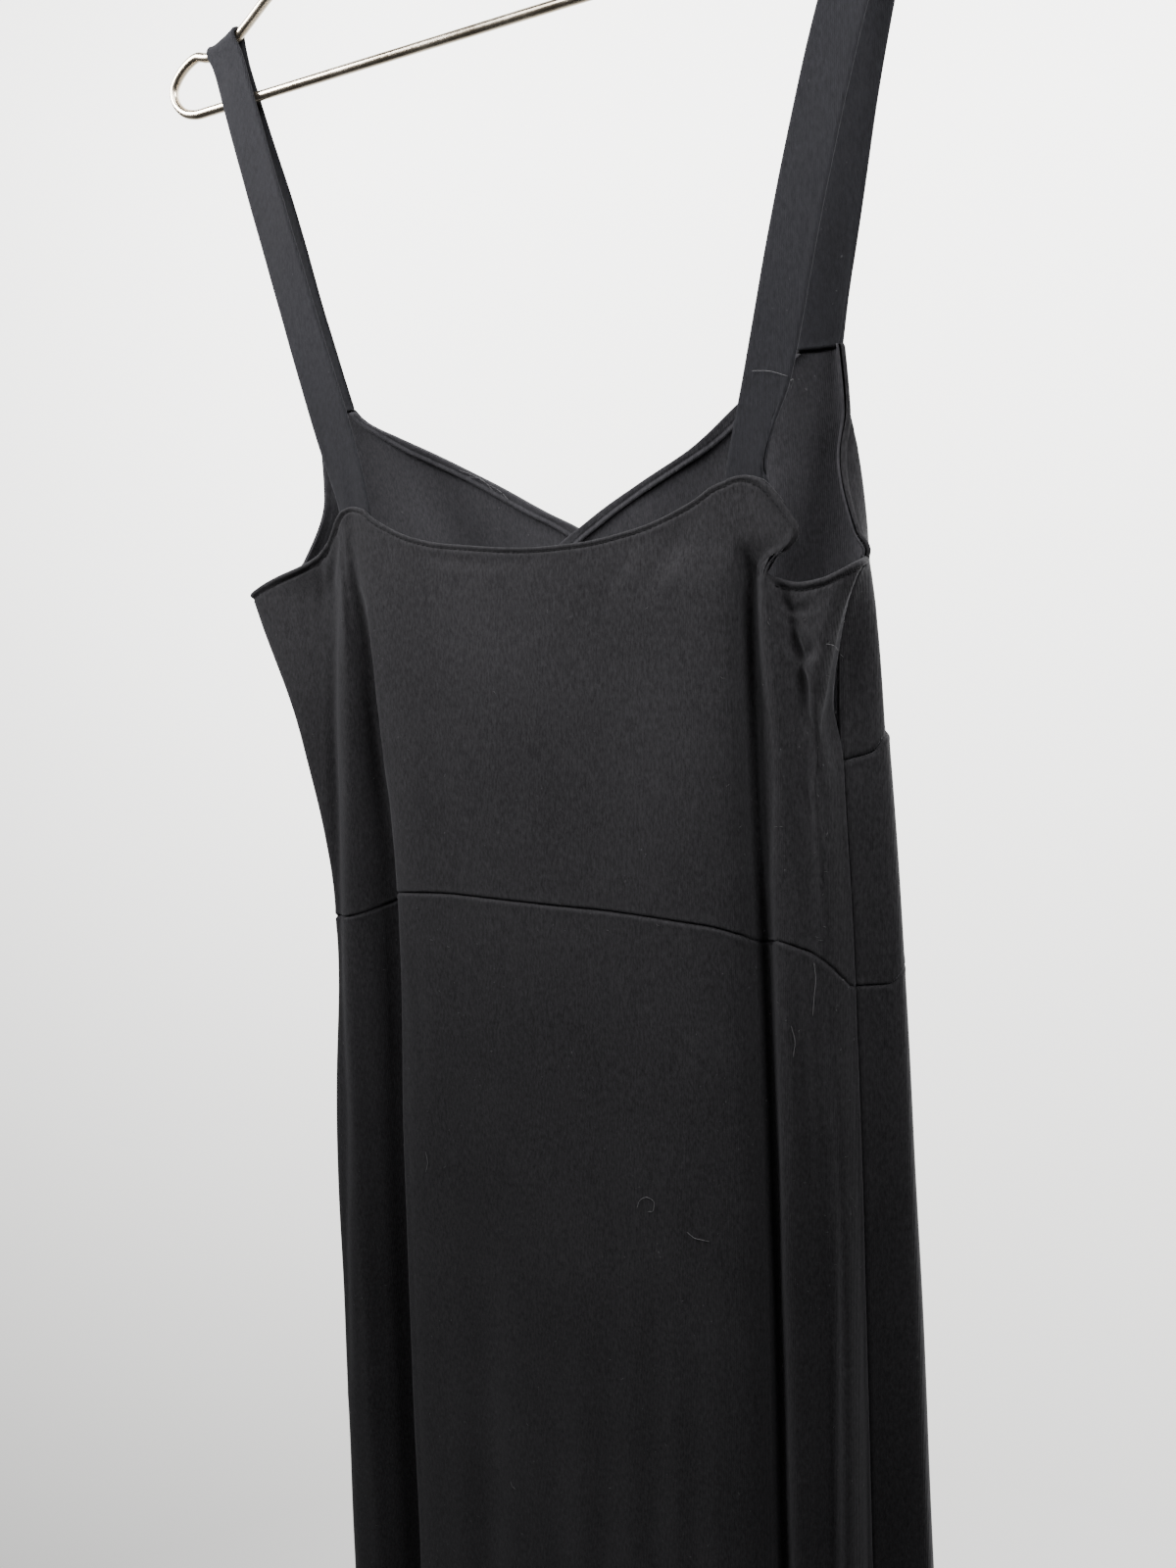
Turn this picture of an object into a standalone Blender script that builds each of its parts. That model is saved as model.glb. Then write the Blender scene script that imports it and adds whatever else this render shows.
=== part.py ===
"""Maxi dress with shoulder straps, hanging flat from a wire hanger.

Metres, +Z up, +X along the hanger's bar, -Y towards the side with the scoop neck
(the back of the dress), +Y towards the V neck. The origin is where the hook hangs:
the inner top of its bend. All sizes below are millimetres, with z measured from
the middle of the hanger's bar; place() turns them into metres from the origin.
"""
import math

import bmesh
import bpy
from mathutils import Vector

# Cloth and seams
CLOTH = 1.5
BAND_CLOTH = 1.0
STRAP_CLOTH = 1.6
SEAM_GAP = 0.3
LAYER_GAP = 0.3
WRAP_OFFSET = 3.8
HEM_Z = -1334.0

# Hanger, with the hook's angles in degrees from +X and its shank's points by x and height
WIRE_R = 2.4
HOOK_CENTRE_Z = 162.0
HOOK_R = 21.0
HOOK_START_ANGLE = -50
HOOK_END_ANGLE = 205
HOOK_STEP_ANGLE = 15
SHANK = ((0.0, 0.0), (0.0, 12.0), (2.5, 20.0))
COLLAR_R = 4.6
COLLAR_HEIGHT = 11.0
COLLAR_EDGE = 1.0
HANG_Z = HOOK_CENTRE_Z + HOOK_R - WIRE_R

JERSEY_COLOUR = (0.017, 0.018, 0.023)
STRAP_COLOUR = (0.026, 0.028, 0.036)
METAL_COLOUR = (0.62, 0.57, 0.50)
CLOTH_ROUGHNESS = 0.9
METAL_ROUGHNESS = 0.28

# How fine the meshes are: rows up each panel with how much closer they lie near its top,
# columns inside a bust piece, lanes across a strap, steps along each wire
BODICE_ROWS = (14, 1.35)
SKIRT_ROWS = (12, 1.2)
MIDRIFF_ROWS = (5, 1.0)
BUST_COLUMNS = 12
STRAP_LANES = 6
STRAP_LOOP_STEP = 30
BAR_STEPS = 6
SPAN_STEPS = 2
WIRE_BEVEL = 2
COLLAR_STEPS = 20
SHARP_ANGLE = 50.0

# Small steps for the cloth's normals, and for measuring and searching along it
NORMAL_U = 0.02
NORMAL_Z = 0.5
WALK_U = 0.01
WIDTH_SAMPLES = 60
SEARCH_HALVINGS = 30

# Guide lines run down the cloth, one for each edge, fold crest and fold valley.
# Each row: name, columns of mesh before the next line, then (x, y) at the heights
# below. The lines go round the dress: across its back from left seam to right seam,
# then across its front to the left seam again. Below LOW they run on straight.
HEIGHTS = (TOP, CORNER, ARM, UNDER, BUST, WAIST, HIP, LOW) = (-150, -205, -240, -262, -342, -436, -600, -880)
GUIDES = (
    # name, cols
    # TOP       CORNER      ARM         UNDER       BUST        WAIST       HIP         LOW
    ("seam_left", 2,
     (-150, 17), (-153, 20), (-170, 17), (-195, 14), (-168, 15), (-153, 17), (-169, 20), (-188, 24)),
    ("side_left", 4,
     (-156, 12), (-170, 6), (-200, 0), (-194, -1), (-168, -1), (-154, -2), (-170, -2), (-188, -3)),
    ("valley_1", 2,
     (-125, -8), (-125, -9), (-131, -6), (-136, 0), (-147, 2), (-149, -3), (-163, -7), (-180, -9)),
    ("crest_1", 2,
     (-114, -12), (-114, -12), (-116, -12), (-119, -11), (-127, -10), (-138, -9), (-149, -9), (-162, -9)),
    ("fold_foot", 2,
     (-108, -12), (-108, -12), (-110, -11), (-112, -7), (-112, 1), (-107, 5), (-118, 6), (-131, 6)),
    ("fold_lip", 4,
     (-101, -13), (-101, -13), (-102, -13), (-101, -13), (-97, -14), (-96, -15), (-107, -16), (-120, -18)),
    ("back_mid_left", 5,
     (-60, -13), (-58, -13), (-55, -14), (-52, -15), (-50, -17), (-50, -19), (-55, -21), (-60, -24)),
    ("back_mid_right", 5,
     (30, -13), (30, -13), (30, -14), (30, -15), (30, -17), (32, -19), (32, -22), (33, -26)),
    ("groove_left", 2,
     (104, -12), (104, -12), (106, -12), (106, -13), (106, -14), (108, -15), (110, -17), (111, -22)),
    ("groove", 3,
     (113, -12), (113, -12), (113, -11), (112, -2), (111, 0), (115, 0), (118, 0), (119, -2)),
    ("crest_2", 3,
     (124, -12), (124, -12), (138, -12), (122, -12), (125, -11), (125, -12), (127, -13), (130, -16)),
    ("valley_2", 3,
     (114, 3), (114, 3), (114, 2), (126, -6), (138, -5), (141, -9), (145, -5), (146, -8)),
    ("crest_3", 2,
     (140, -6), (140, -6), (143, -8), (147, -8), (143, -8), (148, -6), (153, -7), (155, -10)),
    ("tuck", 2,
     (160, 0), (160, 0), (164, -4), (161, -4), (147, -5), (153, -1), (158, -1), (161, -3)),
    ("seam_right", 3,
     (149, 18), (150, 17), (159, 9), (158, 9), (152, 8), (157, 6), (161, 8), (164, 14)),
    ("side_right", 2,
     (149, 20), (155, 24), (160, 22), (162, 20), (169, 20), (176, 17), (183, 20), (194, 22)),
    ("turn_right", 2,
     (145, 21), (147, 35), (150, 41), (151, 43), (157, 46), (164, 42), (171, 48), (181, 54)),
    ("crest_4", 2,
     (140, 20), (124, 36), (120, 42), (119, 46), (120, 53), (118, 46), (122, 54), (128, 61)),
    ("valley_4", 2,
     (137, 20), (112, 34), (107, 38), (106, 41), (106, 46), (104, 33), (108, 40), (114, 46)),
    ("crest_5", 3,
     (131, 20), (94, 32), (91, 38), (90, 43), (90, 51), (90, 45), (94, 54), (99, 61)),
    ("front_mid_right", 3,
     (60, 22), (48, 27), (45, 32), (45, 37), (45, 45), (42, 44), (43, 51), (44, 57)),
    ("front_mid_left", 3,
     (-30, 22), (-30, 26), (-30, 31), (-30, 36), (-28, 44), (-28, 44), (-30, 50), (-32, 56)),
    ("crest_6", 2,
     (-129, 20), (-94, 31), (-89, 37), (-87, 42), (-84, 50), (-80, 45), (-86, 53), (-94, 60)),
    ("valley_6", 2,
     (-134, 20), (-110, 33), (-105, 38), (-103, 41), (-99, 45), (-92, 31), (-99, 37), (-108, 43)),
    ("crest_7", 2,
     (-140, 20), (-130, 34), (-128, 40), (-126, 44), (-118, 48), (-107, 44), (-115, 52), (-126, 59)),
    ("turn_left", 3,
     (-147, 20), (-152, 30), (-170, 35), (-176, 38), (-154, 42), (-142, 38), (-157, 44), (-175, 50)),
)
# Points that some of the lines pass between those heights: line, z, x, y
BENDS = (
    ("crest_2", -254, 124, -12),
    ("valley_2", -254, 117, -2),
    ("tuck", -300, 153.5, -5),
    ("seam_right", -187, 152, 19),
    ("seam_right", -249, 164, 8),
    ("seam_right", -300, 150, 12),
    ("side_right", -187, 152, 22),
    ("turn_right", -187, 146, 29),
    ("fold_lip", -376, -93.5, -15),
)
LINE = {row[0]: number for number, row in enumerate(GUIDES)}
LINE_COUNT = len(GUIDES)
SEAM_LEFT = 0
SEAM_RIGHT = LINE["seam_right"]
FULL_TURN = LINE_COUNT
NECK_RANGE = (SEAM_RIGHT + 2.0, FULL_TURN - 1.0)

# Upper edge of the back bodice: guide coordinate and z
BACK_TOP = (
    (0.0, -258.5), (1.0, -257.0), (1.55, -246.0), (1.83, -238.0), (2.0, -229.0), (2.5, -218.5),
    (3.0, -214.8), (4.0, -213.4), (5.0, -214.8), (5.3, -221.5), (5.76, -231.5), (6.2, -236.5),
    (6.7, -239.8), (7.0, -238.8), (7.35, -233.8), (7.68, -224.0), (7.9, -216.6), (8.2, -214.4),
    (9.0, -213.6), (9.55, -216.0), (9.8, -222.5), (10.0, -238.0), (10.12, -244.0), (10.35, -249.0),
    (10.7, -254.0), (11.1, -258.5), (11.5, -261.5), (12.0, -260.0), (13.0, -253.5), (14.0, -252.0),
)
# Waist seam and empire seam: guide coordinate and z, all round
WAIST_SEAM = (
    (0.0, -450.0), (1.0, -448.0), (2.0, -447.0), (3.0, -445.0), (4.0, -434.0), (5.0, -424.5),
    (6.0, -421.0), (7.0, -421.0), (7.7, -423.0), (8.0, -427.0), (9.0, -434.0), (10.0, -429.0),
    (11.0, -434.0), (12.0, -440.0), (13.0, -447.5), (14.0, -453.5), (14.6, -453.0), (15.0, -448.0),
    (16.0, -443.0), (18.0, -441.0), (20.0, -437.0), (22.0, -438.0), (24.0, -444.0), (26.0, -450.0),
)
EMPIRE_SEAM = (
    (14.0, -345.0), (14.6, -341.5), (15.0, -335.0), (16.0, -333.0), (18.0, -336.0), (20.5, -341.0),
    (23.0, -336.0), (25.0, -334.0), (26.0, -340.0),
)
# Neck edges of the two front bust pieces: z and x, from below the V up to the strap
NECK_RIGHT = (
    (-343, -70), (-300, -54), (-270, -36), (-250, -18), (-238, -4), (-229, 11), (-222, 23),
    (-210, 46), (-196, 73), (-179, 97), (-168, 113), (-158, 129),
)
NECK_LEFT = (
    (-343, 80), (-300, 66), (-268, 48), (-248, 28), (-237, 14), (-230, 3), (-223, -11),
    (-207, -40), (-192, -70), (-176, -101), (-165, -121), (-158, -127),
)
STRAP_SEAM_Z = -158.5
ARMHOLE_FOOT_Z = -256.0
BUST_ROWS = (-343, -326, -308, -290, -274, -262, -252, -241, -230, -218, -205, -190, -175, -165, STRAP_SEAM_Z)
# The foot of a bust piece lies this deep behind the dress's face, less in each row above it
BUST_SINK = 1.6
BUST_SINK_ROWS = 4
# Widest neck band and armhole band, and the most of a bust piece's width that each takes
NECK_BAND = 12.0
NECK_BAND_COLUMNS = 3
ARMHOLE_BAND = 5.0
ARMHOLE_BAND_COLUMNS = 2
BAND_SHARE = 0.16
# How much of the wrap offset the outer bust piece has: x and share
WRAP_SHARE = ((-110, 0), (-60, 1), (200, 1))

# Straps, from above the back corner up to the hanger's arm: z, x, y, width
STRAP_BACK_LEFT = (
    (-177, -117.5, -8.6, 24), (-111, -136, -7.5, 23), (-50, -152.5, -6.2, 22), (0, -166, -4.6, 21.5),
    (20, -171.5, -3.8, 21),
)
STRAP_BACK_RIGHT = (
    (-171, 124.5, -8.6, 22), (-104, 139.3, -7.6, 22), (-50, 153, -6.2, 21.5), (0, 168, -4.6, 21),
    (20, 173.5, -3.8, 21),
)
# Their tucked ends, which lie on the inner face of the back bodice: z, x, width
TUCK_LEFT = ((-224, -107, 23), (-216, -108.5, 23.5), (-208, -110, 24))
TUCK_RIGHT = ((-224, 112.5, 21), (-216, 114.3, 21.5), (-208, 116, 22))
# From the arm down to the front corner, which gives the last section
STRAP_FRONT_LEFT = (
    (20, -174, 3.8, 21), (0, -170, 4.8, 21.5), (-60, -156, 10, 22), (-108, -147.5, 14.5, 22),
)
STRAP_FRONT_RIGHT = (
    (20, 177, 3.8, 21), (0, 172.5, 4.8, 21.5), (-60, 158, 10, 22), (-108, 148.5, 14.5, 22),
)
STRAP_SLANT = 0.26
STRAP_OVER_ARM = 175.0
LANES = tuple(k / STRAP_LANES - 0.5 for k in range(STRAP_LANES + 1))

# Hanger's outline on its left side: x and z, from the bar round the end and up the arm
HANGER_SIDE = (
    (-190, 0), (-201, 0.3), (-209.5, 3.2), (-214.8, 9.5), (-214.6, 16), (-209.5, 21.6), (-202.5, 25.6),
    (-195.5, 27.4), (-189, 25.8), (-182, 25.4), (-174, 27.4), (-166, 30.8), (-157, 35.8), (-145, 42.8),
    (-110, 62), (-70, 82), (-32, 99), (-14, 107.5),
)
HANGER_ARM = HANGER_SIDE[7:]
HANGER_APEX_Z = 112.0


def place(point):
    """Point in metres from the origin, for one in millimetres from the bar."""
    x, y, z = point
    return Vector((x, y, z - HANG_Z)) * 0.001


def between(table, t):
    """Smooth value at t on a table of (position, value) rows, without overshoot."""
    positions = [row[0] for row in table]
    values = [row[1] for row in table]
    if positions[0] > positions[-1]:
        positions.reverse()
        values.reverse()
    last = len(positions) - 1
    steps = [(values[i + 1] - values[i]) / (positions[i + 1] - positions[i]) for i in range(last)]
    if t <= positions[0]:
        return values[0] + (t - positions[0]) * steps[0]
    if t >= positions[-1]:
        return values[-1] + (t - positions[-1]) * steps[-1]
    slopes = [steps[0]]
    for one, two in zip(steps, steps[1:]):
        slopes.append(2 * one * two / (one + two) if one * two > 0 else 0.0)
    slopes.append(steps[-1])
    i = max(k for k in range(last) if positions[k] <= t)
    width = positions[i + 1] - positions[i]
    s = (t - positions[i]) / width
    start = (1 + 2 * s) * (1 - s) ** 2 * values[i] + s * (1 - s) ** 2 * width * slopes[i]
    end = s * s * (3 - 2 * s) * values[i + 1] + s * s * (s - 1) * width * slopes[i + 1]
    return start + end


def line_tables(row):
    """The x and y tables of one guide line, by height, with its bends."""
    points = [(height, *point) for height, point in zip(HEIGHTS, row[2:])]
    points += [(z, x, y) for name, z, x, y in BENDS if name == row[0]]
    points.sort(reverse=True)
    return [(z, x) for z, x, y in points], [(z, y) for z, x, y in points]


TABLES = [line_tables(row) for row in GUIDES]


def guide_point(number, z):
    """Where a guide line is at height z."""
    line = number % LINE_COUNT
    if z < LOW:
        low, hip = Vector(GUIDES[line][-1]), Vector(GUIDES[line][-2])
        return low + (low - hip) * ((z - LOW) / (LOW - HIP))
    return Vector([between(table, min(z, TOP)) for table in TABLES[line]])


def surface(u, z):
    """Outer face of the cloth at guide coordinate u and height z."""
    number = math.floor(u)
    p0, p1, p2, p3 = (guide_point(number + k, z) for k in (-1, 0, 1, 2))
    t1 = max((p1 - p0).length, 1.0) ** 0.5
    t2 = t1 + max((p2 - p1).length, 1.0) ** 0.5
    t3 = t2 + max((p3 - p2).length, 1.0) ** 0.5
    t = t1 + (u - number) * (t2 - t1)
    a1 = p0 * ((t1 - t) / t1) + p1 * (t / t1)
    a2 = p1 * ((t2 - t) / (t2 - t1)) + p2 * ((t - t1) / (t2 - t1))
    a3 = p2 * ((t3 - t) / (t3 - t2)) + p3 * ((t - t2) / (t3 - t2))
    b1 = a1 * ((t2 - t) / t2) + a2 * (t / t2)
    b2 = a2 * ((t3 - t) / (t3 - t1)) + a3 * ((t - t1) / (t3 - t1))
    flat = b1 * ((t2 - t) / (t2 - t1)) + b2 * ((t - t1) / (t2 - t1))
    return Vector((flat.x, flat.y, z))


def outward(u, z):
    """Unit normal of the cloth, pointing out of the dress."""
    along = surface(u + NORMAL_U, z) - surface(u - NORMAL_U, z)
    up = surface(u, z + NORMAL_Z) - surface(u, z - NORMAL_Z)
    return along.cross(up).normalized()


def walk(u, z, distance):
    """Guide coordinate reached by going a distance along the cloth, sideways."""
    step = math.copysign(WALK_U, distance)
    gone = 0.0
    here = surface(u, z)
    while gone < abs(distance):
        ahead = surface(u + step, z)
        length = (ahead - here).length
        if gone + length >= abs(distance):
            return u + step * (abs(distance) - gone) / length
        gone += length
        u += step
        here = ahead
    return u


def find_u(x, z, low, high):
    """Guide coordinate between low and high that lies at x, where x runs one way."""
    rising = surface(high, z).x > surface(low, z).x
    for _ in range(SEARCH_HALVINGS):
        middle = (low + high) / 2
        if (surface(middle, z).x < x) == rising:
            low = middle
        else:
            high = middle
    return (low + high) / 2


def columns(first, last):
    """Guide coordinates of the mesh columns between two guide lines."""
    found = []
    for number in range(first, last):
        count = GUIDES[number % LINE_COUNT][1]
        found += [number + k / count for k in range(count)]
    return found + [float(last)]


def lay(u, z, out=0.0):
    """Outer and inner point of a cloth wall whose outer face is moved out."""
    point = surface(u, z)
    normal = outward(u, z)
    return point + normal * out, point + normal * (out - CLOTH)


def panel_rows(cols, lower, upper, fractions):
    """Rows of (outer, inner) points of a panel between two edge curves."""
    rows = []
    for fraction in fractions:
        row = []
        for number, u in enumerate(cols):
            z = lower(u) + (upper(u) - lower(u)) * fraction
            if number == 0:
                u = walk(u, z, SEAM_GAP / 2)
            elif number == len(cols) - 1:
                u = walk(u, z, -SEAM_GAP / 2)
            row.append(lay(u, z))
        rows.append(row)
    return rows


def cloth_material(name, colour):
    material = bpy.data.materials.new(name)
    material.use_nodes = True
    shader = material.node_tree.nodes["Principled BSDF"]
    shader.inputs["Base Color"].default_value = (*colour, 1.0)
    shader.inputs["Roughness"].default_value = CLOTH_ROUGHNESS
    return material


def metal_material(name, colour):
    material = cloth_material(name, colour)
    shader = material.node_tree.nodes["Principled BSDF"]
    shader.inputs["Roughness"].default_value = METAL_ROUGHNESS
    shader.inputs["Metallic"].default_value = 1.0
    return material


def add_object(name, mesh, material, collection):
    mesh.materials.clear()
    mesh.materials.append(material)
    made = bpy.data.objects.new(name, mesh)
    collection.objects.link(made)
    return made


def wall(name, rows, material, collection):
    """Closed wall from rows of (outer, inner) points, bottom row first."""
    mesh = bpy.data.meshes.new(name)
    build = bmesh.new()
    outer = [[build.verts.new(place(pair[0])) for pair in row] for row in rows]
    inner = [[build.verts.new(place(pair[1])) for pair in row] for row in rows]
    high, wide = len(rows) - 1, len(rows[0]) - 1
    for k in range(high):
        for j in range(wide):
            build.faces.new((outer[k][j], outer[k][j + 1], outer[k + 1][j + 1], outer[k + 1][j]))
            build.faces.new((inner[k][j], inner[k + 1][j], inner[k + 1][j + 1], inner[k][j + 1]))
    for j in range(wide):
        build.faces.new((outer[0][j + 1], outer[0][j], inner[0][j], inner[0][j + 1]))
        build.faces.new((outer[high][j], outer[high][j + 1], inner[high][j + 1], inner[high][j]))
    for k in range(high):
        build.faces.new((outer[k][0], outer[k + 1][0], inner[k + 1][0], inner[k][0]))
        build.faces.new((outer[k + 1][wide], outer[k][wide], inner[k][wide], inner[k + 1][wide]))
    bmesh.ops.triangulate(build, faces=build.faces[:])
    build.to_mesh(mesh)
    build.free()
    mesh.shade_smooth()
    mesh.set_sharp_from_angle(angle=math.radians(SHARP_ANGLE))
    return add_object(name, mesh, material, collection)


def waist(u):
    return between(WAIST_SEAM, u)


def empire(u):
    return between(EMPIRE_SEAM, u)


def spaced(count, power):
    """Fractions from 0 to 1, closer together near 1 when power is over 1."""
    return [1 - (1 - k / count) ** power for k in range(count + 1)]


def make_back(cloth, collection):
    half = SEAM_GAP / 2
    cols = columns(SEAM_LEFT, SEAM_RIGHT)
    bodice = panel_rows(cols, lambda u: waist(u) + half, lambda u: between(BACK_TOP, u), spaced(*BODICE_ROWS))
    wall("back_bodice", bodice, cloth, collection)
    skirt = panel_rows(cols, lambda u: HEM_Z, lambda u: waist(u) - half, spaced(*SKIRT_ROWS))
    wall("back_skirt", skirt, cloth, collection)


def make_front(cloth, collection):
    half = SEAM_GAP / 2
    cols = columns(SEAM_RIGHT, FULL_TURN)
    midriff = panel_rows(cols, lambda u: waist(u) + half, lambda u: empire(u) - half, spaced(*MIDRIFF_ROWS))
    wall("front_midriff", midriff, cloth, collection)
    skirt = panel_rows(cols, lambda u: HEM_Z, lambda u: waist(u) - half, spaced(*SKIRT_ROWS))
    wall("front_skirt", skirt, cloth, collection)


def bust_columns(z, seam, neck_table, direction):
    """Guide coordinates across a bust piece at height z, from side to neck edge."""
    neck = find_u(between(neck_table, z), z, *NECK_RANGE)
    side = walk(seam, z, direction * SEAM_GAP / 2)
    width = 0.0
    previous = surface(side, z)
    for k in range(1, WIDTH_SAMPLES + 1):
        point = surface(side + (neck - side) * k / WIDTH_SAMPLES, z)
        width += (point - previous).length
        previous = point
    band = min(NECK_BAND, BAND_SHARE * width)
    binding = min(ARMHOLE_BAND, BAND_SHARE * width)
    binding_end = walk(side, z, direction * binding)
    band_start = walk(neck, z, -direction * band)
    band_middle = walk(neck, z, -direction * band / 2)
    middle = [binding_end + (band_start - binding_end) * k / BUST_COLUMNS for k in range(1, BUST_COLUMNS)]
    return [side, binding_end, *middle, band_start, band_middle, neck]


def make_bust(side_name, seam, neck_table, direction, cloth, collection):
    """One bust piece with its neck band and armhole band laid on its inner face."""
    rows, neck_rows, armhole_rows = [], [], []
    bottom_z = BUST_ROWS[0]
    for number, level in enumerate(BUST_ROWS):
        fade = max(0.0, 1 - number / BUST_SINK_ROWS)
        row, neck_row, armhole_row = [], [], []
        cols = bust_columns(level, seam, neck_table, direction)
        for column, u in enumerate(cols):
            z = level + (empire(u) + SEAM_GAP / 2 - bottom_z) * fade
            out = -BUST_SINK * fade
            if side_name == "left":
                x = surface(u, z).x
                out += WRAP_OFFSET * between(WRAP_SHARE, max(WRAP_SHARE[0][0], min(WRAP_SHARE[-1][0], x)))
            row.append(lay(u, z, out))
            normal = outward(u, z)
            face = row[-1][1] - normal * LAYER_GAP
            pair = (face, face - normal * BAND_CLOTH)
            if column >= len(cols) - NECK_BAND_COLUMNS:
                neck_row.append(pair)
            if column < ARMHOLE_BAND_COLUMNS:
                armhole_row.append(pair)
        if direction < 0:
            row.reverse()
            neck_row.reverse()
            armhole_row.reverse()
        rows.append(row)
        neck_rows.append(neck_row)
        armhole_rows.append(armhole_row)
    wall("front_bust_" + side_name, rows, cloth, collection)
    wall("neck_band_" + side_name, neck_rows[1:-1], cloth, collection)
    first = next(k for k, level in enumerate(BUST_ROWS) if level > ARMHOLE_FOOT_Z)
    wall("armhole_band_" + side_name, armhole_rows[first:-1], cloth, collection)
    return [sum(pair, Vector()) / 2 for pair in rows[-1]]


def arm_z(x):
    """Height of the hanger's arm at x."""
    return between(HANGER_ARM, -abs(x))


def share_out(points, count):
    """Points at even steps along a broken line."""
    lengths = [(two - one).length for one, two in zip(points, points[1:])]
    found = []
    for k in range(count):
        left = sum(lengths) * k / (count - 1)
        i = 0
        while i < len(lengths) - 1 and left > lengths[i]:
            left -= lengths[i]
            i += 1
        found.append(points[i].lerp(points[i + 1], left / lengths[i]))
    return found


def tucked_section(side, z, x, width, slant, level):
    """Section of a strap's end that lies on the inner face of the back bodice."""
    low, high = LINE["side_left"], LINE["back_mid_left"]
    if side > 0:
        low, high = LINE["back_mid_right"], LINE["crest_2"]
    depth = CLOTH + 2 * LAYER_GAP + STRAP_CLOTH / 2
    section = []
    for lane in LANES:
        height = z + slant * width * lane
        u = find_u(x + level * width * lane, height, low, high)
        section.append(surface(u, height) - outward(u, height) * depth)
    return section


def strap_sections(side, tuck, back, front, corner):
    """Rows of points across a strap, from its tuck over the arm to the front corner."""
    slant = -side * STRAP_SLANT
    level = math.sqrt(1 - slant * slant)
    sections = [tucked_section(side, z, x, width, slant, level) for z, x, width in tuck]
    for z, x, y, width in back:
        sections.append([Vector((x + level * width * lane, y, z + slant * width * lane)) for lane in LANES])
    radius = WIRE_R + 2 * LAYER_GAP + STRAP_CLOTH / 2
    width = back[-1][3]
    for degrees in range(180, -1, -STRAP_LOOP_STEP):
        angle = math.radians(degrees)
        row = []
        for lane in LANES:
            x = side * STRAP_OVER_ARM + level * width * lane
            row.append(Vector((x, radius * math.cos(angle), arm_z(x) + radius * math.sin(angle))))
        sections.append(row)
    for z, x, y, width in front:
        sections.append([Vector((x + level * width * lane, y, z + slant * width * lane)) for lane in LANES])
    edge = corner if corner[0].x < corner[-1].x else corner[::-1]
    last = [point + Vector((0, 0, SEAM_GAP)) for point in share_out(edge, len(LANES))]
    middle = [(one + two) / 2 for one, two in zip(sections[-1], last)]
    sections += [middle, last]
    return sections


def make_strap(name, side, tuck, back, front, corner, material, collection):
    sections = strap_sections(side, tuck, back, front, corner)
    rows = []
    for number, section in enumerate(sections):
        before = sections[max(0, number - 1)]
        after = sections[min(len(sections) - 1, number + 1)]
        row = []
        for lane, point in enumerate(section):
            across = section[min(lane + 1, len(LANES) - 1)] - section[max(lane - 1, 0)]
            normal = across.cross(after[lane] - before[lane]).normalized()
            row.append((point + normal * STRAP_CLOTH / 2, point - normal * STRAP_CLOTH / 2))
        rows.append(row)
    wall(name, rows, material, collection)


def smooth_path(points, per_span):
    """Points of a centripetal curve through the given points."""
    padded = [points[0] * 2 - points[1], *points, points[-1] * 2 - points[-2]]
    found = []
    for i in range(1, len(padded) - 2):
        p0, p1, p2, p3 = padded[i - 1:i + 3]
        t1 = (p1 - p0).length ** 0.5
        t2 = t1 + (p2 - p1).length ** 0.5
        t3 = t2 + (p3 - p2).length ** 0.5
        for k in range(per_span):
            t = t1 + (t2 - t1) * k / per_span
            a1 = p0.lerp(p1, t / t1)
            a2 = p1.lerp(p2, (t - t1) / (t2 - t1))
            a3 = p2.lerp(p3, (t - t2) / (t3 - t2))
            b1 = a1.lerp(a2, t / t2)
            b2 = a2.lerp(a3, (t - t1) / (t3 - t1))
            found.append(b1.lerp(b2, (t - t1) / (t2 - t1)))
    return found + [points[-1]]


def wire(name, points, closed, material, collection):
    """Round wire along points given in millimetres from the bar."""
    data = bpy.data.curves.new(name, "CURVE")
    data.dimensions = "3D"
    data.bevel_depth = WIRE_R * 0.001
    data.bevel_resolution = WIRE_BEVEL
    data.use_fill_caps = not closed
    spline = data.splines.new("POLY")
    spline.points.add(len(points) - 1)
    for target, point in zip(spline.points, points):
        target.co = (*place(point), 1.0)
    spline.use_cyclic_u = closed
    data.materials.append(material)
    made = bpy.data.objects.new(name, data)
    collection.objects.link(made)
    return made


def make_hanger(metal, collection):
    left = [Vector((x, 0, z)) for x, z in HANGER_SIDE] + [Vector((0, 0, HANGER_APEX_Z))]
    right = [Vector((-point.x, 0, point.z)) for point in reversed(left[:-1])]
    start = left[0].x
    bar = [Vector((-start + 2 * start * k / BAR_STEPS, 0, 0)) for k in range(1, BAR_STEPS)]
    wire("hanger_frame", smooth_path(left + right, SPAN_STEPS) + bar, True, metal, collection)
    foot = HANGER_APEX_Z + WIRE_R + LAYER_GAP
    shank = [Vector((x, 0, foot + height)) for x, height in SHANK]
    bend = []
    for degrees in range(HOOK_START_ANGLE, HOOK_END_ANGLE + 1, HOOK_STEP_ANGLE):
        angle = math.radians(degrees)
        bend.append(Vector((HOOK_R * math.cos(angle), 0, HOOK_CENTRE_Z + HOOK_R * math.sin(angle))))
    wire("hanger_hook", smooth_path(shank + bend, SPAN_STEPS), False, metal, collection)
    make_collar(foot, metal, collection)


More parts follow.
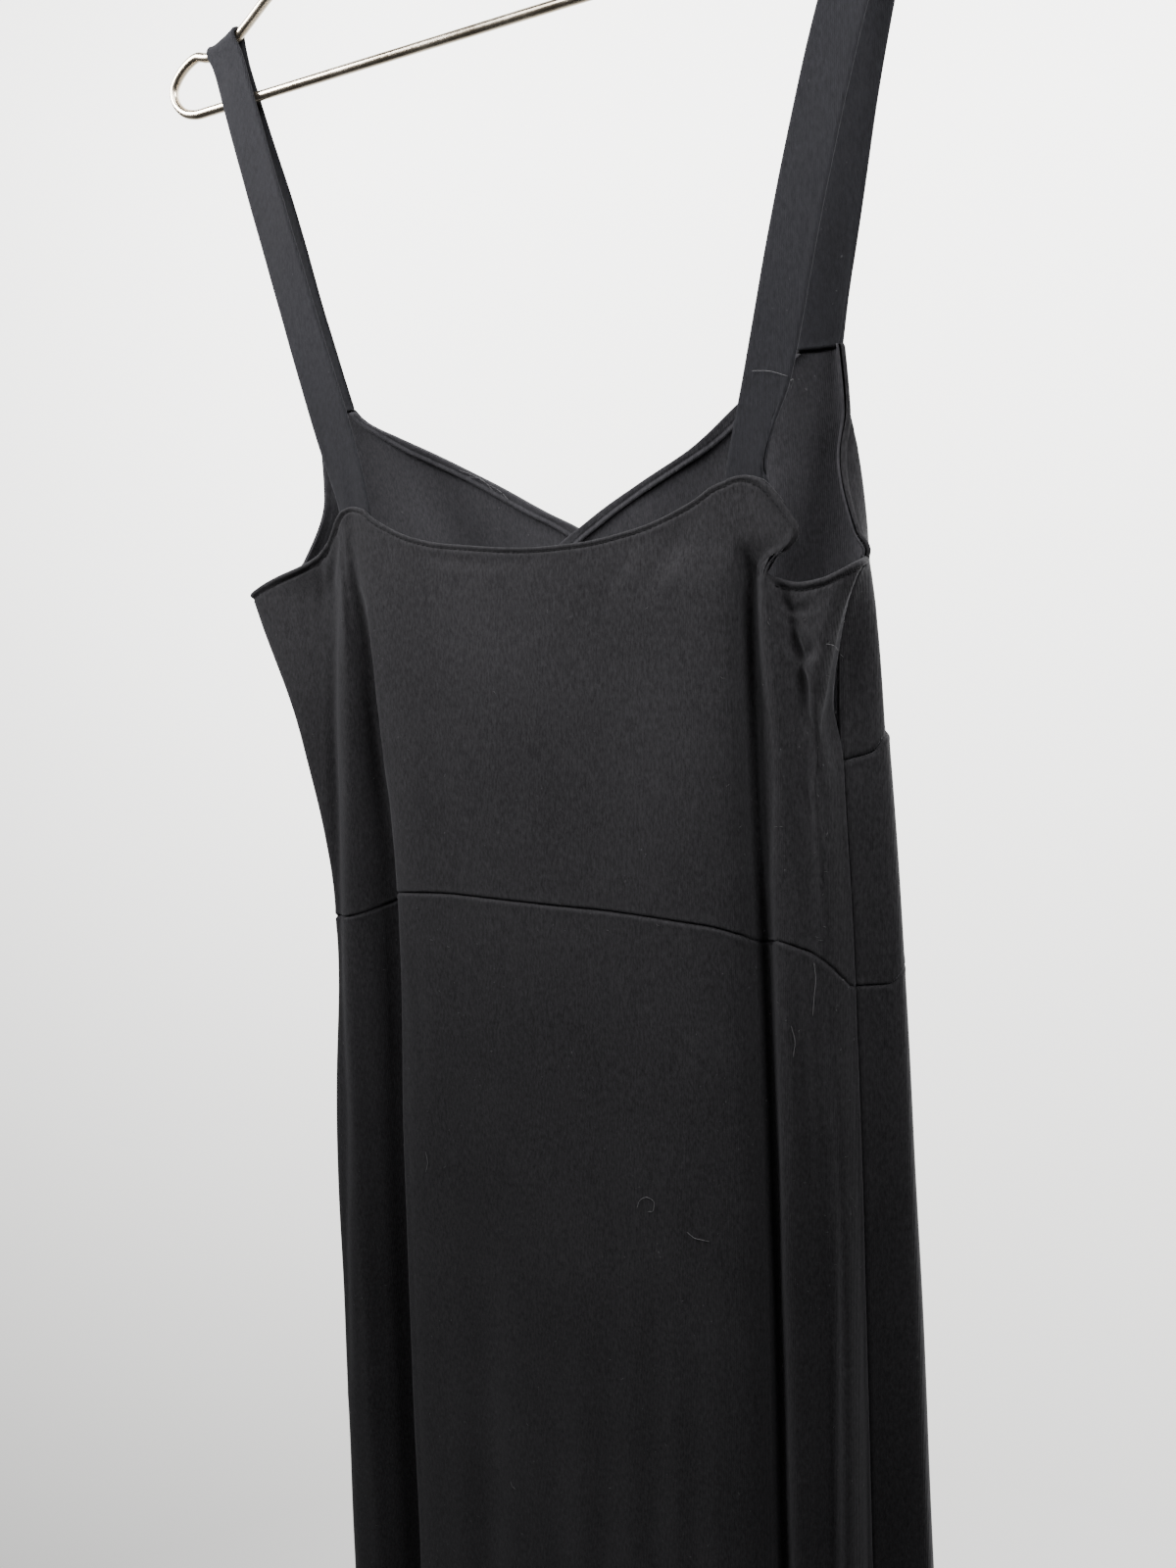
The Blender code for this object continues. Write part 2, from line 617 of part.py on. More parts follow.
def make_collar(foot, metal, collection):
    """Turned collar round the foot of the hook's shank."""
    bore = WIRE_R + LAYER_GAP
    rim = COLLAR_R - COLLAR_EDGE
    profile = ((bore, COLLAR_HEIGHT), (rim, COLLAR_HEIGHT), (COLLAR_R, COLLAR_HEIGHT - COLLAR_EDGE),
               (COLLAR_R, COLLAR_EDGE), (rim, 0), (bore, 0))
    mesh = bpy.data.meshes.new("hanger_collar")
    corners = [(radius * 0.001, 0.0, height * 0.001) for radius, height in profile]
    edges = [(k, (k + 1) % len(corners)) for k in range(len(corners))]
    mesh.from_pydata(corners, edges, [])
    collar = add_object("hanger_collar", mesh, metal, collection)
    collar.location = place((0, 0, foot))
    turn = collar.modifiers.new("turn", "SCREW")
    turn.steps = COLLAR_STEPS
    turn.render_steps = COLLAR_STEPS
    turn.use_merge_vertices = True
    turn.merge_threshold = 0.0001


def build_dress():
    for old in list(bpy.data.objects):
        bpy.data.objects.remove(old, do_unlink=True)
    collection = bpy.data.collections.new("maxi_dress")
    bpy.context.scene.collection.children.link(collection)
    jersey = cloth_material("jersey", JERSEY_COLOUR)
    strap_jersey = cloth_material("strap_jersey", STRAP_COLOUR)
    metal = metal_material("nickel_wire", METAL_COLOUR)
    make_back(jersey, collection)
    make_front(jersey, collection)
    corner_left = make_bust("left", float(FULL_TURN), NECK_LEFT, -1, jersey, collection)
    corner_right = make_bust("right", float(SEAM_RIGHT), NECK_RIGHT, 1, jersey, collection)
    make_strap("strap_left", -1, TUCK_LEFT, STRAP_BACK_LEFT, STRAP_FRONT_LEFT, corner_left,
               strap_jersey, collection)
    make_strap("strap_right", 1, TUCK_RIGHT, STRAP_BACK_RIGHT, STRAP_FRONT_RIGHT, corner_right,
               strap_jersey, collection)
    make_hanger(metal, collection)


build_dress()
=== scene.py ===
"""Looks of a black jersey maxi dress that hangs from a wire hanger.

Lengths are millimetres from the middle of the hanger's bar, with +X along the bar,
+Z up and -Y towards the scoop neck; place() turns them into metres in the frame.
Each cloth piece is a thin shell on its solid's form, with edges, seams and creases.
"""
import math
import random

import bpy
import numpy as np
from mathutils import Matrix, Vector


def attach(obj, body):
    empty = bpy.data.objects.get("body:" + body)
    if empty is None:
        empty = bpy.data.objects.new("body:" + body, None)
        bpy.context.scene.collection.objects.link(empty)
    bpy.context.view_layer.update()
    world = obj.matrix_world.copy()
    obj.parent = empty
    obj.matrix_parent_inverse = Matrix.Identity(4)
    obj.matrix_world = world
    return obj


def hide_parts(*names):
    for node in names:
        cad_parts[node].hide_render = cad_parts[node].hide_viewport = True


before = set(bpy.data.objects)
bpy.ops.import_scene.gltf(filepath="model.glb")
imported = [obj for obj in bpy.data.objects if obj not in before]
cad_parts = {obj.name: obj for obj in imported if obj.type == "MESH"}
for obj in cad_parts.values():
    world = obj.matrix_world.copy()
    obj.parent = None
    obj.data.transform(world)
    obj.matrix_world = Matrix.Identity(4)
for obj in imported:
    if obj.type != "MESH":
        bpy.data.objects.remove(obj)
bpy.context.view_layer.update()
SEED = 11
rng = random.Random(SEED)

# Cloth, seams and wire as the solids have them, with the seams drawn closer
CLOTH = 1.5
SHELL = CLOTH - 0.1
BAND_CLOTH = 1.0
STRAP_CLOTH = 1.6
SEAM_GAP = 0.12
LAYER_GAP = 0.3
WRAP_OFFSET = 3.8
HEM_Z = -1334.0
WIRE_R = 2.4
HOOK_CENTRE_Z = 162.0
HOOK_R = 21.0
HOOK_END_ANGLE = 205.0
COLLAR_R = 4.6
COLLAR_HEIGHT = 11.0
HANG_Z = HOOK_CENTRE_Z + HOOK_R - WIRE_R

# Guide lines down the cloth: name, columns, then (x, y) at these heights
TOP, CORNER, ARM, UNDER, BUST, WAIST, HIP, LOW = -150, -205, -240, -262, -342, -436, -600, -880
HEIGHTS = (TOP, CORNER, ARM, UNDER, BUST, WAIST, HIP, LOW)
GUIDES = (
    # name, columns, then TOP, CORNER, ARM and UNDER,
    # and on the second line BUST, WAIST, HIP and LOW
    ("seam_left", 2, (-150, 17), (-153, 20), (-170, 17), (-195, 14),
     (-168, 15), (-153, 17), (-169, 20), (-188, 24)),
    ("side_left", 4, (-156, 12), (-170, 6), (-200, 0), (-194, -1),
     (-168, -1), (-154, -2), (-170, -2), (-188, -3)),
    ("valley_1", 2, (-125, -8), (-125, -9), (-131, -6), (-136, 0),
     (-147, 2), (-149, -3), (-163, -7), (-180, -9)),
    ("crest_1", 2, (-114, -12), (-114, -12), (-116, -12), (-119, -11),
     (-127, -10), (-138, -9), (-149, -9), (-162, -9)),
    ("fold_foot", 2, (-108, -12), (-108, -12), (-110, -11), (-112, -7),
     (-112, 1), (-107, 5), (-118, 6), (-131, 6)),
    ("fold_lip", 4, (-101, -13), (-101, -13), (-102, -13), (-101, -13),
     (-97, -14), (-96, -15), (-107, -16), (-120, -18)),
    ("back_mid_left", 5, (-60, -13), (-58, -13), (-55, -14), (-52, -15),
     (-50, -17), (-50, -19), (-55, -21), (-60, -24)),
    ("back_mid_right", 5, (30, -13), (30, -13), (30, -14), (30, -15),
     (30, -17), (32, -19), (32, -22), (33, -26)),
    ("groove_left", 2, (104, -12), (104, -12), (106, -12), (106, -13),
     (106, -14), (108, -15), (110, -17), (111, -22)),
    ("groove", 3, (113, -12), (113, -12), (113, -11), (112, -2),
     (111, 0), (115, 0), (118, 0), (119, -2)),
    ("crest_2", 3, (124, -12), (124, -12), (138, -12), (122, -12),
     (125, -11), (125, -12), (127, -13), (130, -16)),
    ("valley_2", 3, (114, 3), (114, 3), (114, 2), (126, -6),
     (138, -5), (141, -9), (145, -5), (146, -8)),
    ("crest_3", 2, (140, -6), (140, -6), (143, -8), (147, -8),
     (143, -8), (148, -6), (153, -7), (155, -10)),
    ("tuck", 2, (160, 0), (160, 0), (164, -4), (161, -4),
     (147, -5), (153, -1), (158, -1), (161, -3)),
    ("seam_right", 3, (149, 18), (150, 17), (159, 9), (158, 9),
     (152, 8), (157, 6), (161, 8), (164, 14)),
    ("side_right", 2, (149, 20), (155, 24), (160, 22), (162, 20),
     (169, 20), (176, 17), (183, 20), (194, 22)),
    ("turn_right", 2, (145, 21), (147, 35), (150, 41), (151, 43),
     (157, 46), (164, 42), (171, 48), (181, 54)),
    ("crest_4", 2, (140, 20), (124, 36), (120, 42), (119, 46),
     (120, 53), (118, 46), (122, 54), (128, 61)),
    ("valley_4", 2, (137, 20), (112, 34), (107, 38), (106, 41),
     (106, 46), (104, 33), (108, 40), (114, 46)),
    ("crest_5", 3, (131, 20), (94, 32), (91, 38), (90, 43),
     (90, 51), (90, 45), (94, 54), (99, 61)),
    ("front_mid_right", 3, (60, 22), (48, 27), (45, 32), (45, 37),
     (45, 45), (42, 44), (43, 51), (44, 57)),
    ("front_mid_left", 3, (-30, 22), (-30, 26), (-30, 31), (-30, 36),
     (-28, 44), (-28, 44), (-30, 50), (-32, 56)),
    ("crest_6", 2, (-129, 20), (-94, 31), (-89, 37), (-87, 42),
     (-84, 50), (-80, 45), (-86, 53), (-94, 60)),
    ("valley_6", 2, (-134, 20), (-110, 33), (-105, 38), (-103, 41),
     (-99, 45), (-92, 31), (-99, 37), (-108, 43)),
    ("crest_7", 2, (-140, 20), (-130, 34), (-128, 40), (-126, 44),
     (-118, 48), (-107, 44), (-115, 52), (-126, 59)),
    ("turn_left", 3, (-147, 20), (-152, 30), (-170, 35), (-176, 38),
     (-154, 42), (-142, 38), (-157, 44), (-175, 50)),
)
# Points that some of the lines pass between those heights: line, z, x, y
BENDS = (
    ("crest_2", -254, 124, -12),
    ("valley_2", -254, 117, -2),
    ("tuck", -300, 153.5, -5),
    ("seam_right", -187, 152, 19),
    ("seam_right", -249, 164, 8),
    ("seam_right", -300, 150, 12),
    ("side_right", -187, 152, 22),
    ("turn_right", -187, 146, 29),
    ("fold_lip", -376, -93.5, -15),
)
LINE = {row[0]: number for number, row in enumerate(GUIDES)}
LINE_COUNT = len(GUIDES)
SEAM_LEFT = 0
SEAM_RIGHT = LINE["seam_right"]
FULL_TURN = LINE_COUNT

# Upper edge of the back bodice: guide coordinate and z
BACK_TOP = (
    (0.0, -258.5), (1.0, -257.0), (1.55, -246.0), (1.83, -238.0), (2.0, -229.0), (2.5, -218.5),
    (3.0, -214.8), (4.0, -213.4), (5.0, -214.8), (5.3, -221.5), (5.76, -231.5), (6.2, -236.5),
    (6.7, -239.8), (7.0, -238.8), (7.35, -233.8), (7.68, -224.0), (7.9, -216.6), (8.2, -214.4),
    (9.0, -213.6), (9.55, -216.0), (9.8, -223.5), (9.97, -235.0), (10.12, -243.0), (10.35, -249.0),
    (10.7, -254.0), (11.1, -258.5), (11.5, -261.5), (12.0, -260.0), (13.0, -253.5), (14.0, -252.0),
)
# Waist seam and empire seam: guide coordinate and z, all round
WAIST_SEAM = (
    (0.0, -450.0), (1.0, -448.0), (2.0, -447.0), (3.0, -445.0), (4.0, -434.0), (5.0, -424.5),
    (6.0, -421.0), (7.0, -421.0), (7.7, -423.0), (8.0, -427.0), (9.0, -434.0), (10.0, -429.0),
    (11.0, -434.0), (12.0, -440.0), (13.0, -447.5), (14.0, -453.5), (14.6, -453.0), (15.0, -448.0),
    (16.0, -443.0), (18.0, -441.0), (20.0, -437.0), (22.0, -438.0), (24.0, -444.0), (26.0, -450.0),
)
EMPIRE_SEAM = (
    (14.0, -345.0), (14.6, -341.5), (15.0, -335.0), (16.0, -333.0), (18.0, -336.0), (20.5, -341.0),
    (23.0, -336.0), (25.0, -334.0), (26.0, -340.0),
)
# Neck edges of the two front bust pieces: z and x, from below the V up to the strap
NECK_RIGHT = (
    (-343, -70), (-300, -54), (-270, -36), (-250, -18), (-238, -4), (-229, 11), (-222, 23),
    (-210, 46), (-196, 73), (-179, 97), (-168, 113), (-158, 129),
)
NECK_LEFT = (
    (-343, 80), (-300, 66), (-268, 48), (-248, 28), (-237, 14), (-230, 3), (-223, -11),
    (-207, -40), (-192, -70), (-176, -101), (-165, -121), (-158, -127),
)
BUST_FOOT_Z = -343.0
NECK_BAND = 12.0
ARMHOLE_BAND = 5.0
BAND_SHARE = 0.16
BUST_SINK = 1.6
BUST_SINK_HEIGHT = 69.0
STRAP_SEAM_Z = -158.5
ARMHOLE_FOOT_Z = -256.0
# How much of the wrap offset the outer bust piece has: x and share
WRAP_SHARE = ((-110, 0), (-60, 1), (200, 1))

# Straps, from above the back corner up to the hanger's arm: z, x, y, width
STRAP_BACK_LEFT = (
    (-177, -117.5, -8.6, 24), (-111, -136, -7.5, 23), (-50, -152.5, -6.2, 22), (0, -166, -4.6, 21.5),
    (20, -171.5, -3.8, 21),
)
STRAP_BACK_RIGHT = (
    (-171, 124.5, -8.6, 22), (-104, 139.3, -7.6, 22), (-50, 153, -6.2, 21.5), (0, 168, -4.6, 21),
    (20, 173.5, -3.8, 21),
)
# Their tucked ends, which lie on the inner face of the back bodice: z, x, width
TUCK_LEFT = ((-224, -107, 23), (-216, -108.5, 23.5), (-208, -110, 24))
TUCK_RIGHT = ((-224, 112.5, 21), (-216, 114.3, 21.5), (-208, 116, 22))
# From the arm down to the front corner, which gives the last section
STRAP_FRONT_LEFT = (
    (20, -174, 3.8, 21), (0, -170, 4.8, 21.5), (-60, -156, 10, 22), (-108, -147.5, 14.5, 22),
)
STRAP_FRONT_RIGHT = (
    (20, 177, 3.8, 21), (0, 172.5, 4.8, 21.5), (-60, 158, 10, 22), (-108, 148.5, 14.5, 22),
)
STRAP_SLANT = 0.26
STRAP_OVER_ARM = 175.0

# Hanger's outline on its left side: x and z, from the bar round the end and up the arm
HANGER_SIDE = (
    (-190, 0), (-201, 0.3), (-209.5, 3.2), (-214.8, 9.5), (-214.6, 16), (-209.5, 21.6), (-202.5, 25.6),
    (-195.5, 27.4), (-189, 25.8), (-182, 25.4), (-174, 27.4), (-166, 30.8), (-157, 35.8), (-145, 42.8),
    (-110, 62), (-70, 82), (-32, 99), (-14, 107.5),
)
HANGER_APEX_Z = 112.0

# Creases of each sheet: half width, depth (a trough is above 0), then the (x, z) points it runs through
CREASES = {
    "back_bodice": (
        (2.6, 0.55, ((-66, -240.5), (-45, -244.5), (-20, -246.5), (18, -246))),
        (2.2, 0.30, ((-40, -239.5), (-10, -242.5), (14, -241.5))),
        (5.0, 0.90, ((87, -231), (76, -248), (64, -264))),
        (4.0, 0.50, ((58, -240), (46, -260), (40, -274))),
        (2.4, 0.80, ((-139, -236), (-142, -250), (-147, -272))),
        (2.0, 0.60, ((-151, -247), (-155, -262), (-158, -286))),
        (2.2, 0.45, ((-166, -253), (-168, -266), (-166, -284))),
        (1.7, 1.40, ((127, -269), (135, -274), (144, -271.5))),
        (1.3, 0.60, ((128, -277), (133, -279), (139, -278))),
        (3.0, 1.80, ((130, -284), (138, -294), (146, -289))),
        (3.4, 1.00, ((134, -300), (142, -311), (147, -322))),
        (2.4, 1.90, ((127, -262), (131, -275), (137, -306), (145, -352), (148, -380))),
        (4.6, 5.50, ((162, -263), (157, -284), (152, -312), (145, -346))),
        (3.2, 1.10, ((119, -300), (122, -345), (120, -395))),
        (3.0, 0.90, ((134, -372), (139, -398), (141, -430))),
        (2.6, 0.90, ((-119.5, -227), (-127, -243), (-136, -256))),
        (3.4, 1.10, ((-138, -280), (-146, -344), (-149, -420))),
        (4.2, -0.80, ((-125, -262), (-130, -300), (-134, -352))),
        (1.6, 0.80, ((-115.5, -226), (-117, -250), (-118, -276), (-117, -300))),
        (3.0, 3.20, ((-108, -262), (-107, -300), (-105.5, -342), (-102, -424))),
        (4.0, 0.35, ((-46, -390), (-30, -401), (-22, -405))),
        (7.0, 0.40, ((-70, -300), (-62, -345), (-58, -395))),
        (8.0, 0.35, ((20, -290), (14, -340), (16, -400))),
    ),
    "back_skirt": (
        (10.0, 2.6, ((-45, -560), (-62, -838), (-84, -1180), (-92, -1334))),
        (8.0, 2.0, ((31, -575), (21, -802), (8, -1120), (2, -1334))),
        (7.0, 1.6, ((60, -590), (52, -789), (44, -1110), (40, -1334))),
        (6.5, 1.7, ((82, -560), (76, -778), (70, -1090), (66, -1334))),
        (8.0, 1.2, ((-8, -700), (-16, -960), (-28, -1240))),
        (3.0, 0.6, ((-118, -450), (-119, -485), (-122, -548))),
        (2.8, 1.9, ((-101.5, -440), (-112.5, -600), (-125.5, -880), (-147, -1334))),
        (1.4, -0.6, ((-95.5, -440), (-106, -600), (-119, -880))),
        (4.5, 1.8, ((-153, -463), (-156, -550), (-170, -686), (-176, -770))),
        (4.0, 1.2, ((-134, -470), (-141, -590), (-150, -760), (-160, -960))),
        (3.5, 1.5, ((149, -496), (148, -601), (146, -766), (146, -900))),
        (3.0, -1.0, ((156, -560), (157, -680), (157, -790))),
        (2.6, 0.9, ((133, -446), (136, -500), (137, -580))),
        (4.0, 0.5, ((-88, -440), (-84, -490), (-86, -560))),
        (3.0, 0.4, ((60, -428), (56, -446), (57, -476))),
        (3.2, 0.4, ((-20, -424), (-24, -448), (-22, -482))),
    ),
    "front_skirt": (
        (9.0, 2.4, ((20, -560), (12, -840), (-2, -1160), (-8, -1334))),
        (8.0, 1.9, ((-12, -610), (-20, -860), (-26, -1200), (-28, -1334))),
        (7.0, 1.8, ((62, -540), (66, -800), (74, -1120), (80, -1334))),
        (6.0, 1.2, ((-56, -580), (-60, -820), (-66, -1080))),
        (3.5, 0.6, ((30, -446), (26, -480), (28, -545))),
    ),
    "front_midriff": (
        (3.0, 0.5, ((64, -350), (60, -385), (66, -428))),
        (3.5, 0.5, ((-40, -352), (-36, -380), (-44, -430))),
        (2.5, 0.4, ((10, -356), (6, -372), (8, -398))),
    ),
    "front_bust_left": (
        (3.4, 0.7, ((-62, -334), (-66, -300), (-80, -262))),
        (3.0, 0.5, ((-20, -336), (-30, -310), (-52, -280))),
        (2.4, 0.5, ((-140, -252), (-144, -270), (-142, -296))),
    ),
    "front_bust_right": (
        (3.4, 0.7, ((70, -334), (74, -300), (86, -258))),
        (2.8, 0.5, ((40, -336), (48, -306), (60, -280))),
        (2.4, 0.6, ((138, -250), (143, -272), (146, -300))),
    ),
}


def place(point):
    """Point in metres in the frame, for one in millimetres from the bar."""
    return Vector((point[0], point[1], point[2] - HANG_Z)) * 0.001


def smooth(table, at):
    """Smooth values at an array of places on (position, value) rows, without overshoot."""
    rows = sorted((row[0], row[1]) for row in table)
    xs = np.array([row[0] for row in rows], float)
    ys = np.array([row[1] for row in rows], float)
    steps = np.diff(ys) / np.diff(xs)
    slopes = np.empty_like(xs)
    slopes[0], slopes[-1] = steps[0], steps[-1]
    one, two = steps[:-1], steps[1:]
    product = one * two
    total = np.where(product > 0, one + two, 1.0)
    slopes[1:-1] = np.where(product > 0, 2 * product / total, 0.0)
    at = np.asarray(at, float)
    i = np.clip(np.searchsorted(xs, at, side="right") - 1, 0, len(xs) - 2)
    width = xs[i + 1] - xs[i]
    s = (at - xs[i]) / width
    inside = ((1 + 2 * s) * (1 - s) ** 2 * ys[i] + s * (1 - s) ** 2 * width * slopes[i]
              + s * s * (3 - 2 * s) * ys[i + 1] + s * s * (s - 1) * width * slopes[i + 1])
    below = ys[0] + (at - xs[0]) * steps[0]
    above = ys[-1] + (at - xs[-1]) * steps[-1]
    return np.where(at < xs[0], below, np.where(at > xs[-1], above, inside))


LEVEL_STEP = 0.5
LEVEL_MARGIN = 8
LEVELS = np.arange(HEM_Z - LEVEL_MARGIN, TOP + LEVEL_STEP, LEVEL_STEP)
NORMAL_STEP_U, NORMAL_STEP_Z = 0.02, 0.6


def line_levels(row, axis):
    """One coordinate of a guide line at every level."""
    points = [(height, point[axis]) for height, point in zip(HEIGHTS, row[2:])]
    points += [(z, (x, y)[axis]) for name, z, x, y in BENDS if name == row[0]]
    values = smooth(points, np.maximum(LEVELS, LOW))
    slope = (row[-1][axis] - row[-2][axis]) / (LOW - HIP)
    return values + np.minimum(LEVELS - LOW, 0.0) * slope


LINES = np.array([[line_levels(row, axis) for axis in (0, 1)] for row in GUIDES])


def line_points(number, z):
    """Guide line points at heights z, as an array whose last axis is x, y."""
    at = np.clip((z - LEVELS[0]) / LEVEL_STEP, 0, len(LEVELS) - 1.001)
    i = at.astype(int)
    part = (at - i)[..., None]
    line = number % LINE_COUNT
    return LINES[line, :, i] * (1 - part) + LINES[line, :, i + 1] * part


def surface(u, z):
    """Outer face of the cloth at arrays of guide coordinates and heights."""
    u, z = np.broadcast_arrays(np.asarray(u, float), np.asarray(z, float))
    number = np.floor(u).astype(int)
    p0, p1, p2, p3 = (line_points(number + k, z) for k in (-1, 0, 1, 2))

    def knot(one, two):
        return np.sqrt(np.maximum(np.linalg.norm(two - one, axis=-1), 1.0))[..., None]

    t1 = knot(p0, p1)
    t2 = t1 + knot(p1, p2)
    t3 = t2 + knot(p2, p3)
    t = t1 + (u - number)[..., None] * (t2 - t1)
    a1 = p0 * ((t1 - t) / t1) + p1 * (t / t1)
    a2 = p1 * ((t2 - t) / (t2 - t1)) + p2 * ((t - t1) / (t2 - t1))
    a3 = p2 * ((t3 - t) / (t3 - t2)) + p3 * ((t - t2) / (t3 - t2))
    b1 = a1 * ((t2 - t) / t2) + a2 * (t / t2)
    b2 = a2 * ((t3 - t) / (t3 - t1)) + a3 * ((t - t1) / (t3 - t1))
    flat = b1 * ((t2 - t) / (t2 - t1)) + b2 * ((t - t1) / (t2 - t1))
    return np.concatenate([flat, z[..., None]], axis=-1)


def outward(u, z):
    """Unit normals of the cloth, pointing out of the dress."""
    u, z = np.broadcast_arrays(np.asarray(u, float), np.asarray(z, float))
    along = surface(u + NORMAL_STEP_U, z) - surface(u - NORMAL_STEP_U, z)
    up = surface(u, z + NORMAL_STEP_Z) - surface(u, z - NORMAL_STEP_Z)
    return unit(np.cross(along, up))


FIND_SAMPLES = 400


def find_u(x, z, low, high):
    """Guide coordinate between low and high that lies at x, where x runs one way."""
    samples = np.linspace(low, high, FIND_SAMPLES)
    xs = surface(samples, np.full_like(samples, z))[:, 0]
    if xs[-1] < xs[0]:
        samples, xs = samples[::-1], xs[::-1]
    return float(np.interp(x, xs, samples))


def columns(first, last, finer):
    """Guide coordinates of the mesh columns between two guide lines."""
    found = []
    for number in range(first, last):
        count = GUIDES[number % LINE_COUNT][1] * finer
        found += [number + k / count for k in range(count)]
    return np.array(found + [float(last)])


# Distances from an edge at which the mesh of a panel has rows
EDGE_STEPS = np.array([0.0, 0.35, 0.75, 1.2, 1.7, 2.3, 3.0, 3.8, 4.8, 6.2])


def edge_rows(lower, upper, count):
    """Heights of mesh rows between two edge curves, close together near both."""
    middle = np.linspace(0, 1, count + 2)[1:-1, None]
    low, high = lower + EDGE_STEPS[-1], upper - EDGE_STEPS[-1]
    return np.concatenate([lower + EDGE_STEPS[:, None], low + (high - low) * middle,
                           upper - EDGE_STEPS[::-1, None]])


def distance_to(points, line):
    """Distance from each point to a polyline, and the nearest place along it, 0 to 1."""
    best = np.full(points.shape[:-1], 1e9)
    where = np.zeros(points.shape[:-1])
    lengths, starts = step_lengths(line), travelled(line)
    for i in range(len(line) - 1):
        way = line[i + 1] - line[i]
        share = np.clip(((points - line[i]) @ way) / max(way @ way, 1e-9), 0, 1)
        gap = np.linalg.norm(points - line[i] - share[..., None] * way, axis=-1)
        near = gap < best
        best = np.where(near, gap, best)
        where = np.where(near, (starts[i] + share * lengths[i]) / starts[-1], where)
    return best, where


def unit(vectors):
    """Vectors of length 1."""
    return vectors / np.linalg.norm(vectors, axis=-1, keepdims=True)


def step_lengths(points, axis=0):
    """Lengths of the steps from point to point along one axis of a line or grid."""
    return np.linalg.norm(np.diff(points, axis=axis), axis=-1)


def travelled(line):
    """Distance along a line at each of its points."""
    return np.concatenate([[0], np.cumsum(step_lengths(line))])


def raised(base, normal, height):
    """Points at heights above a grid, along its normals."""
    return base + normal * height[..., None]


def bell(distance, centre, width):
    """Bell curve of height 1 over distances."""
    return np.exp(-((distance - centre) / width) ** 2)


def curve_through(points, steps):
    """Points of a smooth plane curve through a few points, by even parameter."""
    at = np.linspace(0, len(points) - 1, steps)
    tables = [[(k, point[axis]) for k, point in enumerate(points)] for axis in (0, 1)]
    return np.stack([smooth(table, at) for table in tables], axis=-1)


CREASE_STEPS = 14


def crease_relief(sheet, points):
    """Offset that the hand-placed creases of a sheet give to each of its points."""
    flat = points[..., [0, 2]]
    relief = np.zeros(points.shape[:-1])
    for width, depth, path in CREASES[sheet]:
        line = curve_through(path, CREASE_STEPS)
        low, high = line.min(axis=0) - 3 * width, line.max(axis=0) + 3 * width
        inside = np.all((flat > low) & (flat < high), axis=-1)
        if not inside.any():
            continue
        gap, along = distance_to(flat[inside], line)
        if path[-1][1] <= HEM_Z:
            fade = np.sin(np.pi / 2 * np.clip(along * 1.6, 0, 1))
        else:
            fade = np.sin(np.pi * np.clip(along * 0.94 + 0.03, 0, 1)) ** 0.7
        shape = bell(gap, 0, width) - 0.35 * bell(gap, 2.0 * width, 0.8 * width)
        relief[inside] -= depth * fade * shape
    return relief


# Waves that cross the cloth: radians per millimetre across and down, and phase
WAVE_COUNT = 14
WAVES = [
    (rng.uniform(0.03, 0.13) * rng.choice((-1, 1)), rng.uniform(0.012, 0.06), rng.uniform(0, 6.28))
    for _ in range(WAVE_COUNT)
]
DEPTH_WAVE = 0.1


def soft_relief(points, amount):
    """Slow unevenness of hanging cloth, from a few crossing waves."""
    total = np.zeros(points.shape[:-1])
    for across, down, phase in WAVES:
        total += np.sin(points[..., 0] * across + points[..., 1] * DEPTH_WAVE + points[..., 2] * down + phase)
    return total * amount / math.sqrt(WAVE_COUNT)


SEAM_DIP = 0.95
PUCKER_PITCH = 1.15
PUCKER_DRIFT = 9.0


def seam_relief(distance, along, length):
    """A sewn seam: the cloth dips into it, stands up beside it and puckers a little."""
    drift = 2.1 * np.sin(along * length / PUCKER_DRIFT)
    pucker = np.sin(along * length / PUCKER_PITCH + drift) * bell(distance, 2.6, 2.4)
    return -SEAM_DIP * bell(distance, 0, 0.75) + 0.15 * bell(distance, 2.2, 1.3) + 0.09 * pucker


def lip_relief(distance, height, width):
    """A turned edge: a round lip, then the groove that its stitching pulls in."""
    groove = width + 1.1
    return (height * bell(distance, 0.55 * width, 0.55 * width) - 0.5 * bell(distance, 0, 0.35)
            - 0.75 * bell(distance, groove, 0.5) + 0.15 * bell(distance, groove + 1.6, 0.9))


def new_mesh(name, verts, faces, material):
    """Mesh of one material."""
    mesh = bpy.data.meshes.new(name)
    mesh.from_pydata(verts, [], faces)
    mesh.materials.append(material)
    return mesh


def add_object(name, data):
    """Object of a mesh, curve, lamp or camera, in the scene."""
    made = bpy.data.objects.new(name, data)
    bpy.context.scene.collection.objects.link(made)
    return made


